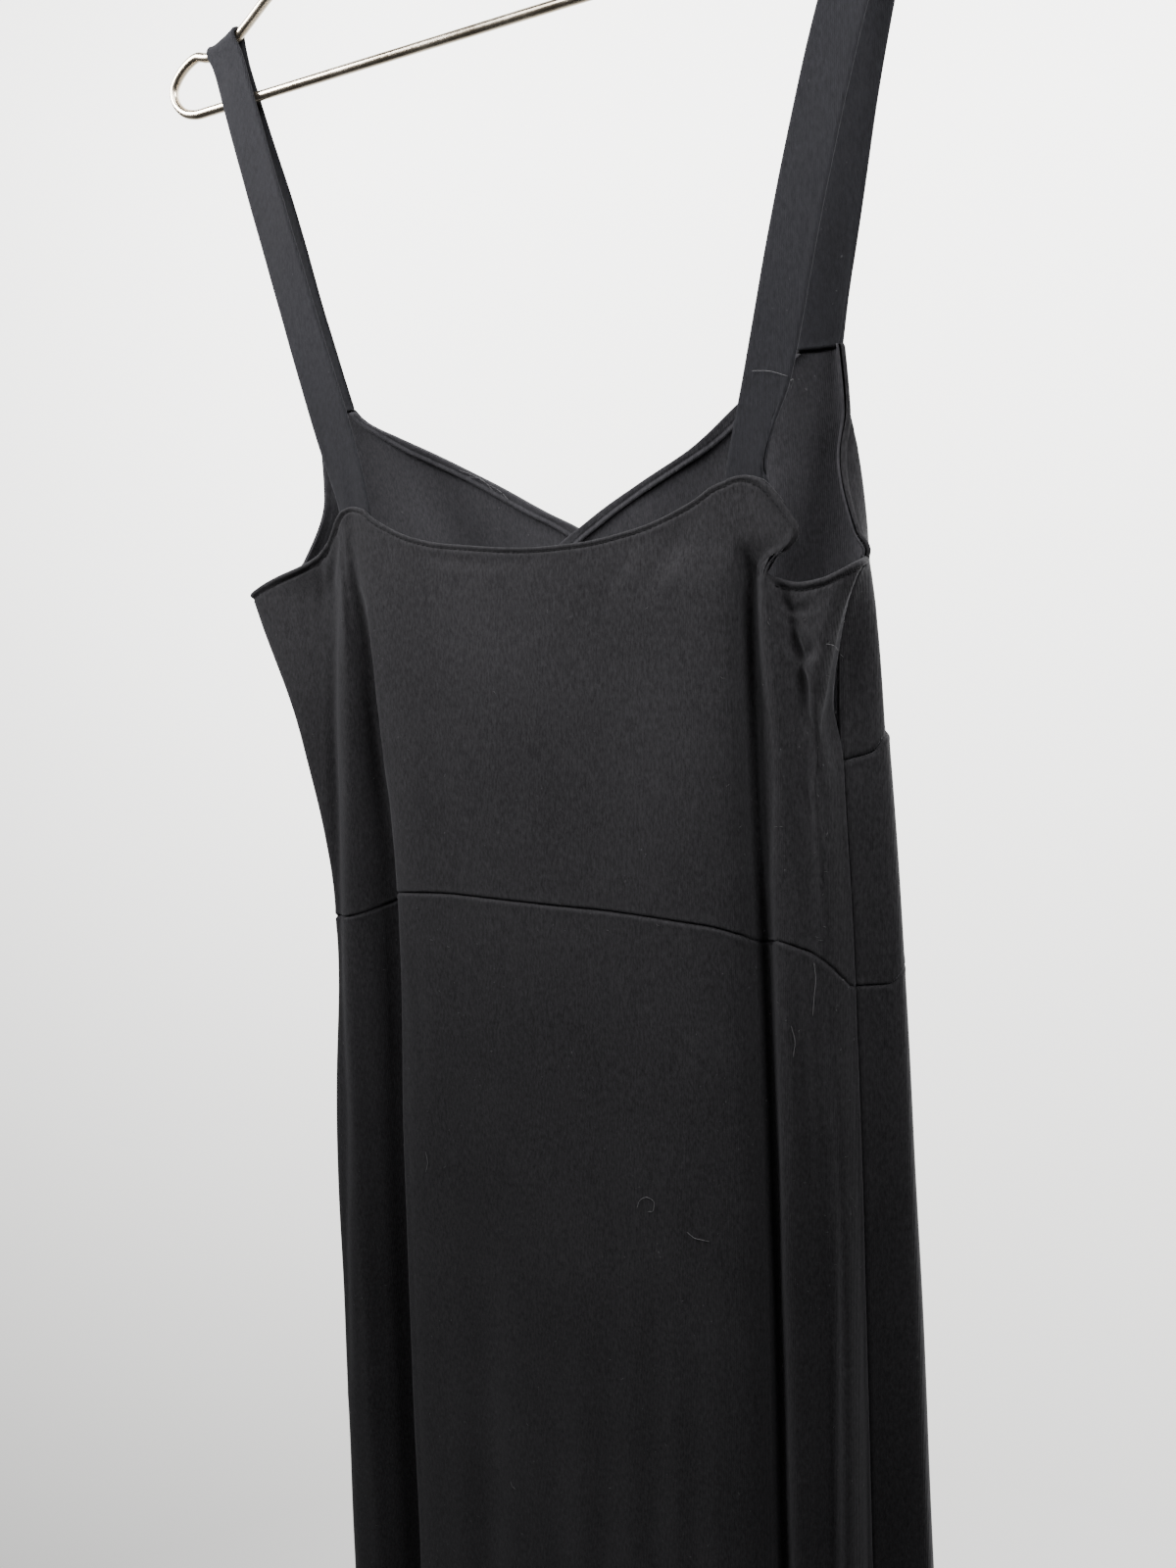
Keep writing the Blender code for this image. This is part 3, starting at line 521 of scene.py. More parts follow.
def grid_mesh(name, outer, inner, material, painted_light_inside=None):
    """Closed shell from two grids of points, bottom row first."""
    high, wide = outer.shape[0], outer.shape[1]
    count = high * wide
    verts = np.concatenate([outer.reshape(-1, 3), inner.reshape(-1, 3)])
    verts = (verts - np.array([0, 0, HANG_Z])) * 0.001
    index = np.arange(count).reshape(high, wide)
    a, b, c, d = index[:-1, :-1], index[:-1, 1:], index[1:, 1:], index[1:, :-1]
    quads = [np.stack([a, b, c, d], -1).reshape(-1, 4),
             np.stack([a, d, c, b], -1).reshape(-1, 4) + count]
    for edge, flip in ((index[0], True), (index[-1], False), (index[:, 0], False), (index[:, -1], True)):
        one, two = (edge[1:], edge[:-1]) if flip else (edge[:-1], edge[1:])
        quads.append(np.stack([one, two, two + count, one + count], -1))
    faces = np.concatenate(quads)
    mesh = new_mesh(name, verts.tolist(), faces.tolist(), material)
    # The inner faces take the second material, a paler copy of the jersey that paints light on the inside.
    if painted_light_inside:
        mesh.materials.append(painted_light_inside)
        sides = np.zeros(len(faces), np.int32)
        sides[len(quads[0]):2 * len(quads[0])] = 1
        mesh.polygons.foreach_set("material_index", sides)
    mesh.shade_smooth()
    return add_object(name, mesh)


def finish_sheet(name, outer, inner, material, painted_light_inside=None):
    """Makes a cloth piece of its grids and puts it in its node's place."""
    piece = grid_mesh(name, outer, inner, material, painted_light_inside)
    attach(piece, "root")
    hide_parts(name.replace("_cloth", ""))


def armhole_share(u):
    """Share of the armhole's thicker lip along the back bodice's upper edge."""
    left = 1 / (1 + np.exp((u - 3.0) * 8))
    right = 1 / (1 + np.exp((9.3 - u) * 8))
    return left + right


# Unevenness of the panels and of the bust pieces, and heights of the hem's two stitch rows
PANEL_SOFTNESS = 0.18
BUST_SOFTNESS = 0.25
HEM_STITCHES = (17.0, 20.0)


def side_grids(sheet, cols, heights):
    """Outer and inner grids of a panel, with its seams, upper edge, creases and softness."""
    u = np.broadcast_to(cols, heights.shape).copy()
    lengths = step_lengths(surface(u, heights), 1)
    u[:, 0] += SEAM_GAP / 2 * (u[:, 1] - u[:, 0]) / np.maximum(lengths[:, 0], 0.01)
    u[:, -1] -= SEAM_GAP / 2 * (u[:, -1] - u[:, -2]) / np.maximum(lengths[:, -1], 0.01)
    base, normal = surface(u, heights), outward(u, heights)
    relief = crease_relief(sheet, base) + soft_relief(base, PANEL_SOFTNESS)
    sewn = [base[:, 0], base[:, -1], base[0]]
    if sheet != "back_bodice":
        sewn.append(base[-1])
    for edge in sewn:
        gap, along = distance_to(base, edge[::2])
        relief += seam_relief(gap, along, step_lengths(edge).sum())
    thick = np.full(relief.shape, SHELL)
    if sheet == "back_bodice":
        gap, _ = distance_to(base, base[-1][::2])
        share = armhole_share(np.broadcast_to(cols, heights.shape))
        relief += lip_relief(gap, 0.10 + 0.95 * share, 1.3 + 1.3 * share)
        thick = thick + (0.1 + 1.5 * share) * bell(gap, 1.1, 1.4) - 0.7 * bell(gap, 0, 0.35)
    if sheet.endswith("skirt"):
        hem = heights - HEM_Z
        relief += (-0.35 * bell(hem, HEM_STITCHES[1], 0.9) - 0.25 * bell(hem, HEM_STITCHES[0], 0.9)
                   - 0.5 * bell(hem, 0, 0.6))
    return raised(base, normal, relief), raised(base, normal, relief - thick)


def waist(u):
    """Heights of the waist seam."""
    return smooth(WAIST_SEAM, u)


def empire(u):
    """Heights of the empire seam."""
    return smooth(EMPIRE_SEAM, u)


BODICE_ROWS, MIDRIFF_ROWS, SKIRT_ROWS = 80, 34, 150


def make_panels(cloth):
    """The back bodice, the midriff and the two skirts, each between two edge curves."""
    half = SEAM_GAP / 2
    back, front = columns(SEAM_LEFT, SEAM_RIGHT, 5), columns(SEAM_RIGHT, FULL_TURN, 6)
    back_hem, front_hem = np.full_like(back, HEM_Z), np.full_like(front, HEM_Z)
    straps = ["strap_left_cloth", "strap_right_cloth"]
    busts = ["front_bust_left_cloth", "front_bust_right_cloth"]
    panels = (
        ("back_bodice", back, waist(back) + half, smooth(BACK_TOP, back), BODICE_ROWS, straps),
        ("back_skirt", back, back_hem, waist(back) - half, SKIRT_ROWS, ["back_bodice_cloth"]),
        ("front_midriff", front, waist(front) + half, empire(front) - half, MIDRIFF_ROWS, busts),
        ("front_skirt", front, front_hem, waist(front) - half, SKIRT_ROWS, ["front_midriff_cloth"]),
    )
    for name, cols, lower, upper, rows, held_by in panels:
        outer, inner = side_grids(name, cols, edge_rows(lower, upper, rows))
        finish_sheet(name + "_cloth", outer, inner, cloth)


def bust_grid(seam, neck_table, outer_layer, spread):
    """Guide coordinates, heights and face offsets over a bust piece, side to neck edge."""
    levels = np.concatenate([np.linspace(BUST_FOOT_Z, UNDER, 40), np.linspace(UNDER + 1.5, STRAP_SEAM_Z, 62)])
    u = np.zeros((len(levels), len(spread(100.0))))
    z = np.zeros_like(u)
    for number, level in enumerate(levels):
        neck = find_u(float(smooth(neck_table, level)), level, SEAM_RIGHT + 2.0, FULL_TURN - 1.0)
        samples = np.linspace(seam, neck, 240)
        points = surface(samples, np.full_like(samples, level))
        gone = travelled(points)
        start = SEAM_GAP / 2
        u[number] = np.interp(start + spread(gone[-1] - start), gone, samples)
        fade = max(0.0, 1 - (level - BUST_FOOT_Z) / BUST_SINK_HEIGHT)
        z[number] = level + (empire(u[number]) + SEAM_GAP / 2 - BUST_FOOT_Z) * fade
    fade = np.maximum(0.0, 1 - (levels - BUST_FOOT_Z) / BUST_SINK_HEIGHT)[:, None]
    out = np.zeros_like(u) - BUST_SINK * fade
    if outer_layer:
        x = np.clip(surface(u, z)[..., 0], WRAP_SHARE[0][0], WRAP_SHARE[-1][0])
        out = out + WRAP_OFFSET * smooth(WRAP_SHARE, x)
    return levels, u, z, out


def bust_spread(width):
    """Distances from the side edge of a bust piece's columns, fine near both edges."""
    near = np.array([0.0, 0.4, 0.8, 1.3, 1.9, 2.6, 3.4, 4.4, 5.6])
    near = near * min(1.0, width / 14)
    return np.concatenate([near, np.linspace(near[-1], width - near[-1], 52)[1:-1], width - near[::-1]])


BUST_SIDE_LENGTH = 180.0
BUST_FOOT_LENGTH = 200.0


def make_bust(side_name, seam, neck_table, direction, cloth, painted_light_inside):
    """One front bust piece with its bands; gives the corner that its strap is sewn to."""
    name = "front_bust_" + side_name
    _, u, z, out = bust_grid(seam, neck_table, side_name == "left", bust_spread)
    base = surface(u, z)
    normal = outward(u, z)
    relief = crease_relief(name, base) + soft_relief(base, BUST_SOFTNESS)
    neck_gap, _ = distance_to(base, base[:, -1][::2])
    side_gap, along = distance_to(base, base[:, 0][::2])
    foot_gap, foot_along = distance_to(base, base[0][::2])
    above = (z > ARMHOLE_FOOT_Z).astype(float)
    relief += lip_relief(neck_gap, 0.1, 1.2) + above * lip_relief(side_gap, 0.7, 2.2)
    relief += ((1 - above) * seam_relief(side_gap, along, BUST_SIDE_LENGTH)
               + seam_relief(foot_gap, foot_along, BUST_FOOT_LENGTH))
    relief -= 0.35 * bell(STRAP_SEAM_Z - z, 0, 0.8)
    rounded = 0.8 * bell(neck_gap, 0, 0.35)
    thick = np.full(relief.shape, SHELL) - rounded - 0.8 * above * bell(side_gap, 0, 0.35)
    outer = raised(base, normal, out + relief)[:, ::direction]
    inner = raised(base, normal, out + relief - thick)[:, ::direction]
    finish_sheet(name + "_cloth", outer, inner, cloth, painted_light_inside)
    make_bands(side_name, seam, neck_table, direction, painted_light_inside)
    return raised(base[-1], normal[-1], out[-1] - CLOTH / 2)


def neck_spread(width):
    """Distances of the neck band's columns from the side edge, up to the neck edge."""
    return width - np.minimum(NECK_BAND, BAND_SHARE * width) * np.linspace(1, 0, 17)


def armhole_spread(width):
    """Distances of the armhole band's columns from the side edge."""
    return np.minimum(ARMHOLE_BAND, BAND_SHARE * width) * np.linspace(0, 1, 11)


def make_bands(side_name, seam, neck_table, direction, cloth):
    """The turned neck band and armhole band on the inner face of a bust piece."""
    kinds = (("neck_band_", neck_spread, 0, -1), ("armhole_band_", armhole_spread, -1, 0))
    for prefix, spread, ridge_column, free_column in kinds:
        levels, u, z, out = bust_grid(seam, neck_table, side_name == "left", spread)
        keep = slice(3, -1) if prefix == "neck_band_" else levels > ARMHOLE_FOOT_Z + 2
        u, z, out = u[keep], z[keep], out[keep]
        base, normal = surface(u, z), outward(u, z)
        face = out - CLOTH - LAYER_GAP
        ridge, along = distance_to(base, base[:, ridge_column][::2])
        free, _ = distance_to(base, base[:, free_column][::2])
        wave = 0.15 * np.sin(along * 61.0) * bell(ridge, 1.5, 2.5)
        stitched = 0.35 * bell(ridge, 1.0, 0.7) - 0.30 * bell(ridge, 2.6, 0.5)
        bulge = stitched + 0.2 * bell(free, 1.0, 0.9) + wave
        outer = raised(base, normal, face)[:, ::direction]
        inner = raised(base, normal, face - BAND_CLOTH - bulge)[:, ::direction]
        finish_sheet(prefix + side_name + "_cloth", outer, inner, cloth)


def arm_z(x):
    """Height of the hanger's arm at x."""
    arm = [(row[0], row[1]) for row in HANGER_SIDE if row[0] > -196 and row[1] > 20]
    return smooth(arm, -np.abs(x))


def strap_sections(side, tuck, back, front, corner, lanes):
    """Sections across a strap, from its tuck over the arm to the front corner."""
    slant = -side * STRAP_SLANT
    level = math.sqrt(1 - slant * slant)
    lines = ("side_left", "back_mid_left") if side < 0 else ("back_mid_right", "crest_2")
    depth = CLOTH + 2 * LAYER_GAP + STRAP_CLOTH / 2
    sections = []
    for z, x, width in tuck:
        row = []
        for lane in lanes:
            height = z + slant * width * lane
            u = find_u(x + level * width * lane, height, LINE[lines[0]], LINE[lines[1]])
            row.append(surface(u, height) - outward(u, height) * depth)
        sections.append(row)

    def hanging(rows):
        return [[(x + level * width * lane, y, z + slant * width * lane) for lane in lanes]
                for z, x, y, width in rows]

    sections += hanging(back)
    radius = WIRE_R + 2 * LAYER_GAP + STRAP_CLOTH / 2
    across = side * STRAP_OVER_ARM + level * back[-1][3] * lanes
    for degrees in range(180, -1, -20):
        angle = math.radians(degrees)
        forward = np.full_like(across, radius * math.cos(angle))
        sections.append(np.stack([across, forward, arm_z(across) + radius * math.sin(angle)], -1))
    sections += hanging(front)
    edge = corner if corner[0][0] < corner[-1][0] else corner[::-1]
    gone = travelled(edge)
    share = (lanes + 0.5) * gone[-1]
    last = np.stack([np.interp(share, gone, edge[:, axis]) for axis in range(3)], -1) + (0, 0, SEAM_GAP)
    middle = (np.array(sections[-1]) + last) / 2
    return np.array([np.array(section, float) for section in sections + [middle, last]])


# Lanes along a strap as shares of its width, closer near the edges; length of its mesh steps
EDGE_LANES = np.array([0.34, 0.39, 0.43, 0.46, 0.485, 0.5])
STRAP_LANES = np.concatenate([-EDGE_LANES[::-1], np.linspace(-0.28, 0.28, 15), EDGE_LANES])
STRAP_STEP = 1.6
STRAP_WIDTH = 22.0


def make_strap(name, side, tuck, back, front, corner, material):
    """One strap as a shell round its middle sheet, sewn to the front corner at its end."""
    sections = strap_sections(side, tuck, back, front, corner, STRAP_LANES)
    centre = len(STRAP_LANES) // 2
    gone = travelled(sections[:, centre])
    at = np.append(np.arange(0, gone[-1], STRAP_STEP), gone[-1])
    grid = np.stack([np.stack([smooth(list(zip(gone, sections[:, lane, axis])), at) for axis in range(3)], -1)
                     for lane in range(len(STRAP_LANES))], axis=1)
    normal = unit(np.cross(np.gradient(grid, axis=1), np.gradient(grid, axis=0)))
    edge = (0.5 - np.abs(STRAP_LANES)) * STRAP_WIDTH
    half = STRAP_CLOTH / 2 * (1 - 0.62 * bell(edge, 0, 0.7)) + 0.12 * bell(edge, 1.3, 0.8)
    wave = (0.18 * np.sin(at / 17.0)[:, None] * np.cos(STRAP_LANES * 5.0)[None]
            + 0.10 * np.sin(at / 6.1 + 1.0)[:, None] * STRAP_LANES[None])
    outer = raised(grid, normal, half[None] + wave)
    inner = raised(grid, normal, wave - half[None])
    facing = -1.0 if normal[-1, centre, 1] > 0 else 1.0
    sewn = inner if facing < 0 else outer
    sewn[-1] = grid[-1] + facing * normal[-1] * (CLOTH / 2 + 0.35) + (0, 0, -1.3)
    sewn[-2] = sewn[-2] + facing * normal[-2] * 0.25
    finish_sheet(name, outer, inner, material)


def smooth_path(points, per_span):
    """Points of a centripetal curve through the given points."""
    padded = [points[0] * 2 - points[1], *points, points[-1] * 2 - points[-2]]
    found = []
    for i in range(1, len(padded) - 2):
        p0, p1, p2, p3 = padded[i - 1:i + 3]
        t1 = (p1 - p0).length ** 0.5
        t2 = t1 + (p2 - p1).length ** 0.5
        t3 = t2 + (p3 - p2).length ** 0.5
        for k in range(per_span):
            t = t1 + (t2 - t1) * k / per_span
            a1 = p0.lerp(p1, t / t1)
            a2 = p1.lerp(p2, (t - t1) / (t2 - t1))
            a3 = p2.lerp(p3, (t - t2) / (t3 - t2))
            b1 = a1.lerp(a2, t / t2)
            b2 = a2.lerp(a3, (t - t1) / (t3 - t1))
            found.append(b1.lerp(b2, (t - t1) / (t2 - t1)))
    return found + [points[-1]]


def wire(name, points, closed, node, material):
    """Round wire along points given in millimetres from the bar."""
    data = bpy.data.curves.new(name, "CURVE")
    data.dimensions = "3D"
    data.bevel_depth = WIRE_R * 0.001
    data.bevel_resolution = 6
    data.use_fill_caps = not closed
    spline = data.splines.new("POLY")
    spline.points.add(len(points) - 1)
    for target, point in zip(spline.points, points):
        target.co = (*place(point), 1.0)
    spline.use_cyclic_u = closed
    spline.use_smooth = True
    data.materials.append(material)
    made = add_object(name, data)
    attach(made, "root")
    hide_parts(node)


def make_hanger(metal):
    """The wire loop with its bar, the hook and the collar between them."""
    left = [Vector((x, 0, z)) for x, z in HANGER_SIDE] + [Vector((0, 0, HANGER_APEX_Z))]
    right = [Vector((-point.x, 0, point.z)) for point in reversed(left[:-1])]
    bar_steps = 12
    start = left[0].x
    bar = [Vector((-start + 2 * start * k / bar_steps, 0, 0)) for k in range(1, bar_steps)]
    wire("hanger_frame_wire", smooth_path(left + right, 6) + bar, True, "hanger_frame", metal)
    foot = HANGER_APEX_Z + WIRE_R + LAYER_GAP
    shank = [Vector((0, 0, foot)), Vector((0, 0, foot + 12)), Vector((2.5, 0, foot + 20))]
    bend = []
    for degrees in range(-50, int(HOOK_END_ANGLE) + 1, 15):
        angle = math.radians(degrees)
        bend.append(Vector((HOOK_R * math.cos(angle), 0, HOOK_CENTRE_Z + HOOK_R * math.sin(angle))))
    wire("hanger_hook_wire", smooth_path(shank + bend, 6), False, "hanger_hook", metal)
    make_collar(foot, metal)


def make_collar(foot, metal):
    """Turned collar round the foot of the hook's shank, with two rolled grooves."""
    bore = WIRE_R + LAYER_GAP
    profile = [(bore, COLLAR_HEIGHT), (COLLAR_R - 0.9, COLLAR_HEIGHT), (COLLAR_R - 0.3, COLLAR_HEIGHT - 0.3),
               (COLLAR_R, COLLAR_HEIGHT - 1.0)]
    for height in (7.6, 3.4):
        profile += [(COLLAR_R, height + 0.7), (COLLAR_R - 0.4, height), (COLLAR_R, height - 0.7)]
    profile += [(COLLAR_R, 1.0), (COLLAR_R - 0.3, 0.3), (COLLAR_R - 0.9, 0), (bore, 0)]
    around = 40
    verts, faces = [], []
    for k in range(around):
        angle = 2 * math.pi * k / around
        for radius, height in profile:
            verts.append(place((radius * math.cos(angle), radius * math.sin(angle), foot + height)))
    count = len(profile)
    for k in range(around):
        for j in range(count):
            here, there, above = k * count, (k + 1) % around * count, (j + 1) % count
            faces.append((here + j, here + above, there + above, there + j))
    mesh = new_mesh("hanger_collar_turned", verts, faces, metal)
    mesh.shade_smooth()
    mesh.set_sharp_from_angle(angle=math.radians(35))
    collar = add_object("hanger_collar_turned", mesh)
    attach(collar, "root")
    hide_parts("hanger_collar")


def tube_mesh(paths, radius, sides):
    """Vertices and faces of thin tubes along paths of points in millimetres."""
    verts, faces = [], []
    for path in paths:
        first = len(verts)
        for i, point in enumerate(path):
            ahead = (path[min(i + 1, len(path) - 1)] - path[max(i - 1, 0)]).normalized()
            side = ahead.orthogonal().normalized()
            up = ahead.cross(side)
            taper = 0.45 if i in (0, len(path) - 1) else 1.0
            for k in range(sides):
                angle = 2 * math.pi * k / sides
                verts.append(place(point + (side * math.cos(angle) + up * math.sin(angle)) * radius * taper))
        for i in range(len(path) - 1):
            for k in range(sides):
                one, two = first + i * sides + k, first + i * sides + (k + 1) % sides
                faces.append((one, two, two + sides, one + sides))
        last = first + (len(path) - 1) * sides
        faces.append(tuple(first + k for k in reversed(range(sides))))
        faces.append(tuple(last + k for k in range(sides)))
    return verts, faces


def small_piece(name, paths, radius, sides, material):
    """One joined mesh of stitches or threads."""
    mesh = new_mesh(name, *tube_mesh(paths, radius, sides), material)
    mesh.shade_smooth()
    piece = add_object(name, mesh)
    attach(piece, "root")


def stitch_paths(line, normals, pitch, length, lift):
    """Short stitches along a line of points, each a low arch between its two holes."""
    gone = travelled(line)
    paths = []
    for start in np.arange(pitch / 2, gone[-1] - length, pitch):
        path = []
        for share, height in ((0.0, -0.15), (0.25, 0.10), (0.5, 0.16), (0.75, 0.10), (1.0, -0.15)):
            at = start + share * length
            point = [np.interp(at, gone, line[:, axis]) for axis in range(3)]
            normal = [np.interp(at, gone, normals[:, axis]) for axis in range(3)]
            path.append(Vector(point) + Vector(normal) * (height + lift))
        paths.append(path)
    return paths


STITCH_R, THREAD_R, SPECK_R = 0.17, 0.10, 0.07


def make_stitches(thread):
    """Stitches along the back bodice's upper edge and two rows round the hem."""
    cols = columns(SEAM_LEFT, SEAM_RIGHT, 12)
    top = smooth(BACK_TOP, cols)
    base, normal = surface(cols, top), outward(cols, top)
    inward = unit(np.cross(np.gradient(base, axis=0), normal))
    line = base + inward * (2.2 + 1.5 * armhole_share(cols)[:, None]) - normal * 0.3
    paths = stitch_paths(line, normal, 2.9, 2.0, 0.0)
    hem_cols = columns(SEAM_LEFT, FULL_TURN, 6)
    for hem in HEM_STITCHES:
        z = np.full_like(hem_cols, HEM_Z + hem)
        paths += stitch_paths(surface(hem_cols, z), outward(hem_cols, z), 3.2, 2.3, -0.25)
    small_piece("edge_stitches", paths, STITCH_R, 6, thread)


def feed(tree, socket, value):
    """Links an output to a socket, or sets a constant on it."""
    if isinstance(value, bpy.types.NodeSocket):
        tree.links.new(value, socket)
    else:
        socket.default_value = value


def add_node(tree, kind, **values):
    """Shader node with settings, and with inputs whose names have blanks for underscores."""
    made = tree.nodes.new("ShaderNode" + kind)
    for key, value in values.items():
        if hasattr(made, key):
            setattr(made, key, value)
        else:
            feed(tree, made.inputs[key.replace("_", " ")], value)
    return made


def add_math(tree, kind, operation, *operands):
    """Output of a math node; each operand is a number, a vector or an output."""
    made = add_node(tree, kind, operation=operation)
    for number, operand in enumerate(operands):
        feed(tree, made.inputs[number], operand)
    return made.outputs[0]


def add_range(tree, value, **limits):
    """Output of a map range node."""
    return add_node(tree, "MapRange", Value=value, **limits).outputs["Result"]


def add_ramp(tree, value, *stops):
    """Colour of a ramp with two stops of a position and a colour each."""
    ramp = add_node(tree, "ValToRGB", Fac=value)
    for number, (position, colour) in enumerate(stops):
        ramp.color_ramp.elements[number].position = position
        ramp.color_ramp.elements[number].color = (*colour, 1.0)
    return ramp.outputs["Color"]


def principled(name, colour, roughness, **values):
    """Material with its tree, its shader and the output for places on the object."""
    material = bpy.data.materials.new(name)
    material.use_nodes = True
    tree = material.node_tree
    shader = tree.nodes["Principled BSDF"]
    shader.inputs["Base Color"].default_value = (*colour, 1.0)
    shader.inputs["Roughness"].default_value = roughness
    for key, value in values.items():
        shader.inputs[key.replace("_", " ")].default_value = value
    return material, tree, shader, add_node(tree, "TexCoord").outputs["Object"]


def jersey_material(name, dark, light, wale):
    """Fine jersey: upright wales, nap, slow colour change and pale specks of lint."""
    material, tree, shader, coords = principled(
        name, dark, 0.9, Sheen_Weight=0.07, Sheen_Roughness=0.45, Sheen_Tint=(0.85, 0.86, 0.92, 1.0),
        Specular_IOR_Level=0.06)
    slow = add_node(tree, "TexNoise", Vector=coords, Scale=9.0, Detail=5.0, Roughness=0.6).outputs["Fac"]
    drawn = add_node(tree, "Mapping", Vector=coords, Scale=(1.0, 1.0, 0.38)).outputs["Vector"]
    grain = add_node(tree, "TexNoise", Vector=drawn, Scale=900.0, Detail=3.0, Roughness=0.7).outputs["Fac"]
    blend = add_math(tree, "Math", "MULTIPLY_ADD", grain, 0.55, add_math(tree, "Math", "MULTIPLY", slow, 0.2))
    dyed = add_ramp(tree, blend, (0.22, dark), (0.54, light))

    warp = add_node(tree, "TexNoise", Vector=coords, Scale=160.0, Detail=2.0).outputs["Color"]
    warped = add_math(tree, "VectorMath", "MULTIPLY_ADD", warp, (0.006, 0.006, 0.006), coords)
    fluff = add_node(tree, "TexVoronoi", Vector=warped, Scale=210.0, Randomness=1.0).outputs["Distance"]
    speck = add_range(tree, fluff, From_Min=0.10, From_Max=0.03)
    patch = add_node(tree, "TexNoise", Vector=coords, Scale=26.0, Detail=3.0).outputs["Fac"]
    patchy = add_range(tree, patch, From_Min=0.52, From_Max=0.70, To_Max=0.35)
    amount = add_math(tree, "Math", "MULTIPLY", speck, patchy)
    mixed = add_node(tree, "Mix", data_type="RGBA", Factor=amount, A=dyed, B=(0.16, 0.16, 0.17, 1.0))
    feed(tree, shader.inputs["Base Color"], mixed.outputs["Result"])

    wales = add_node(tree, "TexWave", wave_type="BANDS", bands_direction="X", Vector=coords,
                     Scale=math.tau / (20 * wale), Distortion=1.4, Detail=2.0, Detail_Scale=2.0)
    height = add_math(tree, "Math", "ADD", wales.outputs["Fac"], grain)
    soft = add_node(tree, "TexNoise", Vector=coords, Scale=48.0, Detail=4.0, Roughness=0.55).outputs["Fac"]
    broad = add_node(tree, "Bump", Strength=0.20, Distance=0.0016, Height=soft).outputs["Normal"]
    fine = add_node(tree, "Bump", Strength=0.35, Distance=0.00035, Height=height, Normal=broad)
    feed(tree, shader.inputs["Normal"], fine.outputs["Normal"])
    feed(tree, shader.inputs["Roughness"], add_range(tree, slow, To_Min=0.82, To_Max=1.0))
    return material


def thread_material(name, colour):
    """Twisted thread."""
    material, tree, shader, coords = principled(name, colour, 0.85, Specular_IOR_Level=0.1)
    twist = add_node(tree, "TexWave", wave_type="BANDS", bands_direction="DIAGONAL", Vector=coords,
                     Scale=2600.0)
    dyed = add_ramp(tree, twist.outputs["Fac"], (0.0, [value * 0.7 for value in colour]), (1.0, colour))
    feed(tree, shader.inputs["Base Color"], dyed)
    return material


def wire_material():
    """Warm nickel plate with fine drawing lines and slight wear."""
    material, tree, shader, coords = principled("nickel_wire", (0.60, 0.53, 0.43), 0.24, Metallic=1.0)
    wear = add_node(tree, "TexNoise", Vector=coords, Scale=70.0, Detail=6.0, Roughness=0.65).outputs["Fac"]
    plated = add_ramp(tree, wear, (0.3, (0.44, 0.37, 0.28)), (0.62, (0.66, 0.59, 0.48)))
    feed(tree, shader.inputs["Base Color"], plated)
    feed(tree, shader.inputs["Roughness"], add_range(tree, wear, To_Min=0.16, To_Max=0.36))
    drawn = add_node(tree, "Mapping", Vector=coords, Scale=(0.08, 1.0, 1.0)).outputs["Vector"]
    lines = add_node(tree, "TexNoise", Vector=drawn, Scale=420.0, Detail=3.0).outputs["Fac"]
    bump = add_node(tree, "Bump", Strength=0.12, Distance=0.0002, Height=lines)
    feed(tree, shader.inputs["Normal"], bump.outputs["Normal"])
    return material


# Threads of lint on the dress: the guide lines they lie between, then (x, z) points
LINT = (
    ("crest_3", "tuck", ((143, -304), (146, -294), (149, -289), (152.5, -290), (155, -297))),
    ("valley_2", "crest_3", ((141.5, -438), (142.2, -446), (141.4, -455), (140.6, -465))),
    ("back_mid_right", "groove_left",
     ((48.6, -580), (50.5, -575), (55, -572), (59, -574), (58, -579), (55, -580))),
    ("back_mid_right", "groove_left", ((77, -586), (82, -588.5), (89, -588.5))),
    ("back_mid_left", "back_mid_right", ((-42, -776), (-41, -779), (-39, -780))),
    ("fold_lip", "back_mid_left", ((-88, -590), (-86, -583), (-87, -577))),
    ("crest_2", "valley_2", ((131, -470), (132.5, -478), (131.5, -486))),
)
# Loose threads that lie elsewhere: (x, y, z) points
LOOSE = (
    ((-63, 26.2, -196.6), (-54, 26.6, -200.2), (-45, 26.8, -205.6), (-39, 27.2, -209.0),
     (-34, 27.4, -214)),
    ((-58, 26.2, -200.5), (-50, 26.4, -202.0), (-43, 27.0, -208.5)),
    ((118, -10.4, -170), (126, -10.6, -171), (134, -9.7, -174)),
    ((134, -8.6, -176), (131.5, 5, -173.5), (124, 24, -175)),
)


SPECK_COUNT = 420
THREAD_LIFT, SPECK_LIFT = 0.55, 0.5


def make_lint(pale):
    """The threads one by one, and fine specks scattered over the back."""
    paths = [smooth_path([Vector(point) for point in points], 5) for points in LOOSE]
    for first, last, points in LINT:
        line = curve_through(points, 4 * len(points))
        path = []
        for x, z in line:
            u = find_u(x, z, LINE[first] - 0.3, LINE[last] + 0.3)
            path.append(Vector(surface(u, z) + outward(u, z) * THREAD_LIFT))
        paths.append(path)
    small_piece("lint_threads", paths, THREAD_R, 5, pale)
    specks = []
    for _ in range(SPECK_COUNT):
        u = rng.uniform(0.3, 13.7)
        z = rng.uniform(-1320, -268)
        angle = rng.uniform(0, math.pi)
        length = rng.uniform(0.6, 2.2)
        bend = rng.uniform(-0.6, 0.6)
        normal = Vector(outward(u, z))
        centre = Vector(surface(u, z)) + normal * SPECK_LIFT
        side = normal.orthogonal().normalized()
        up = normal.cross(side)
        way = side * math.cos(angle) + up * math.sin(angle)
        across = up * math.cos(angle) - side * math.sin(angle)
        specks.append([centre + way * share * length + across * bend * (0.5 - abs(share))
                       for share in (-0.5, 0.0, 0.5)])
    small_piece("lint_specks", specks, SPECK_R, 3, pale)


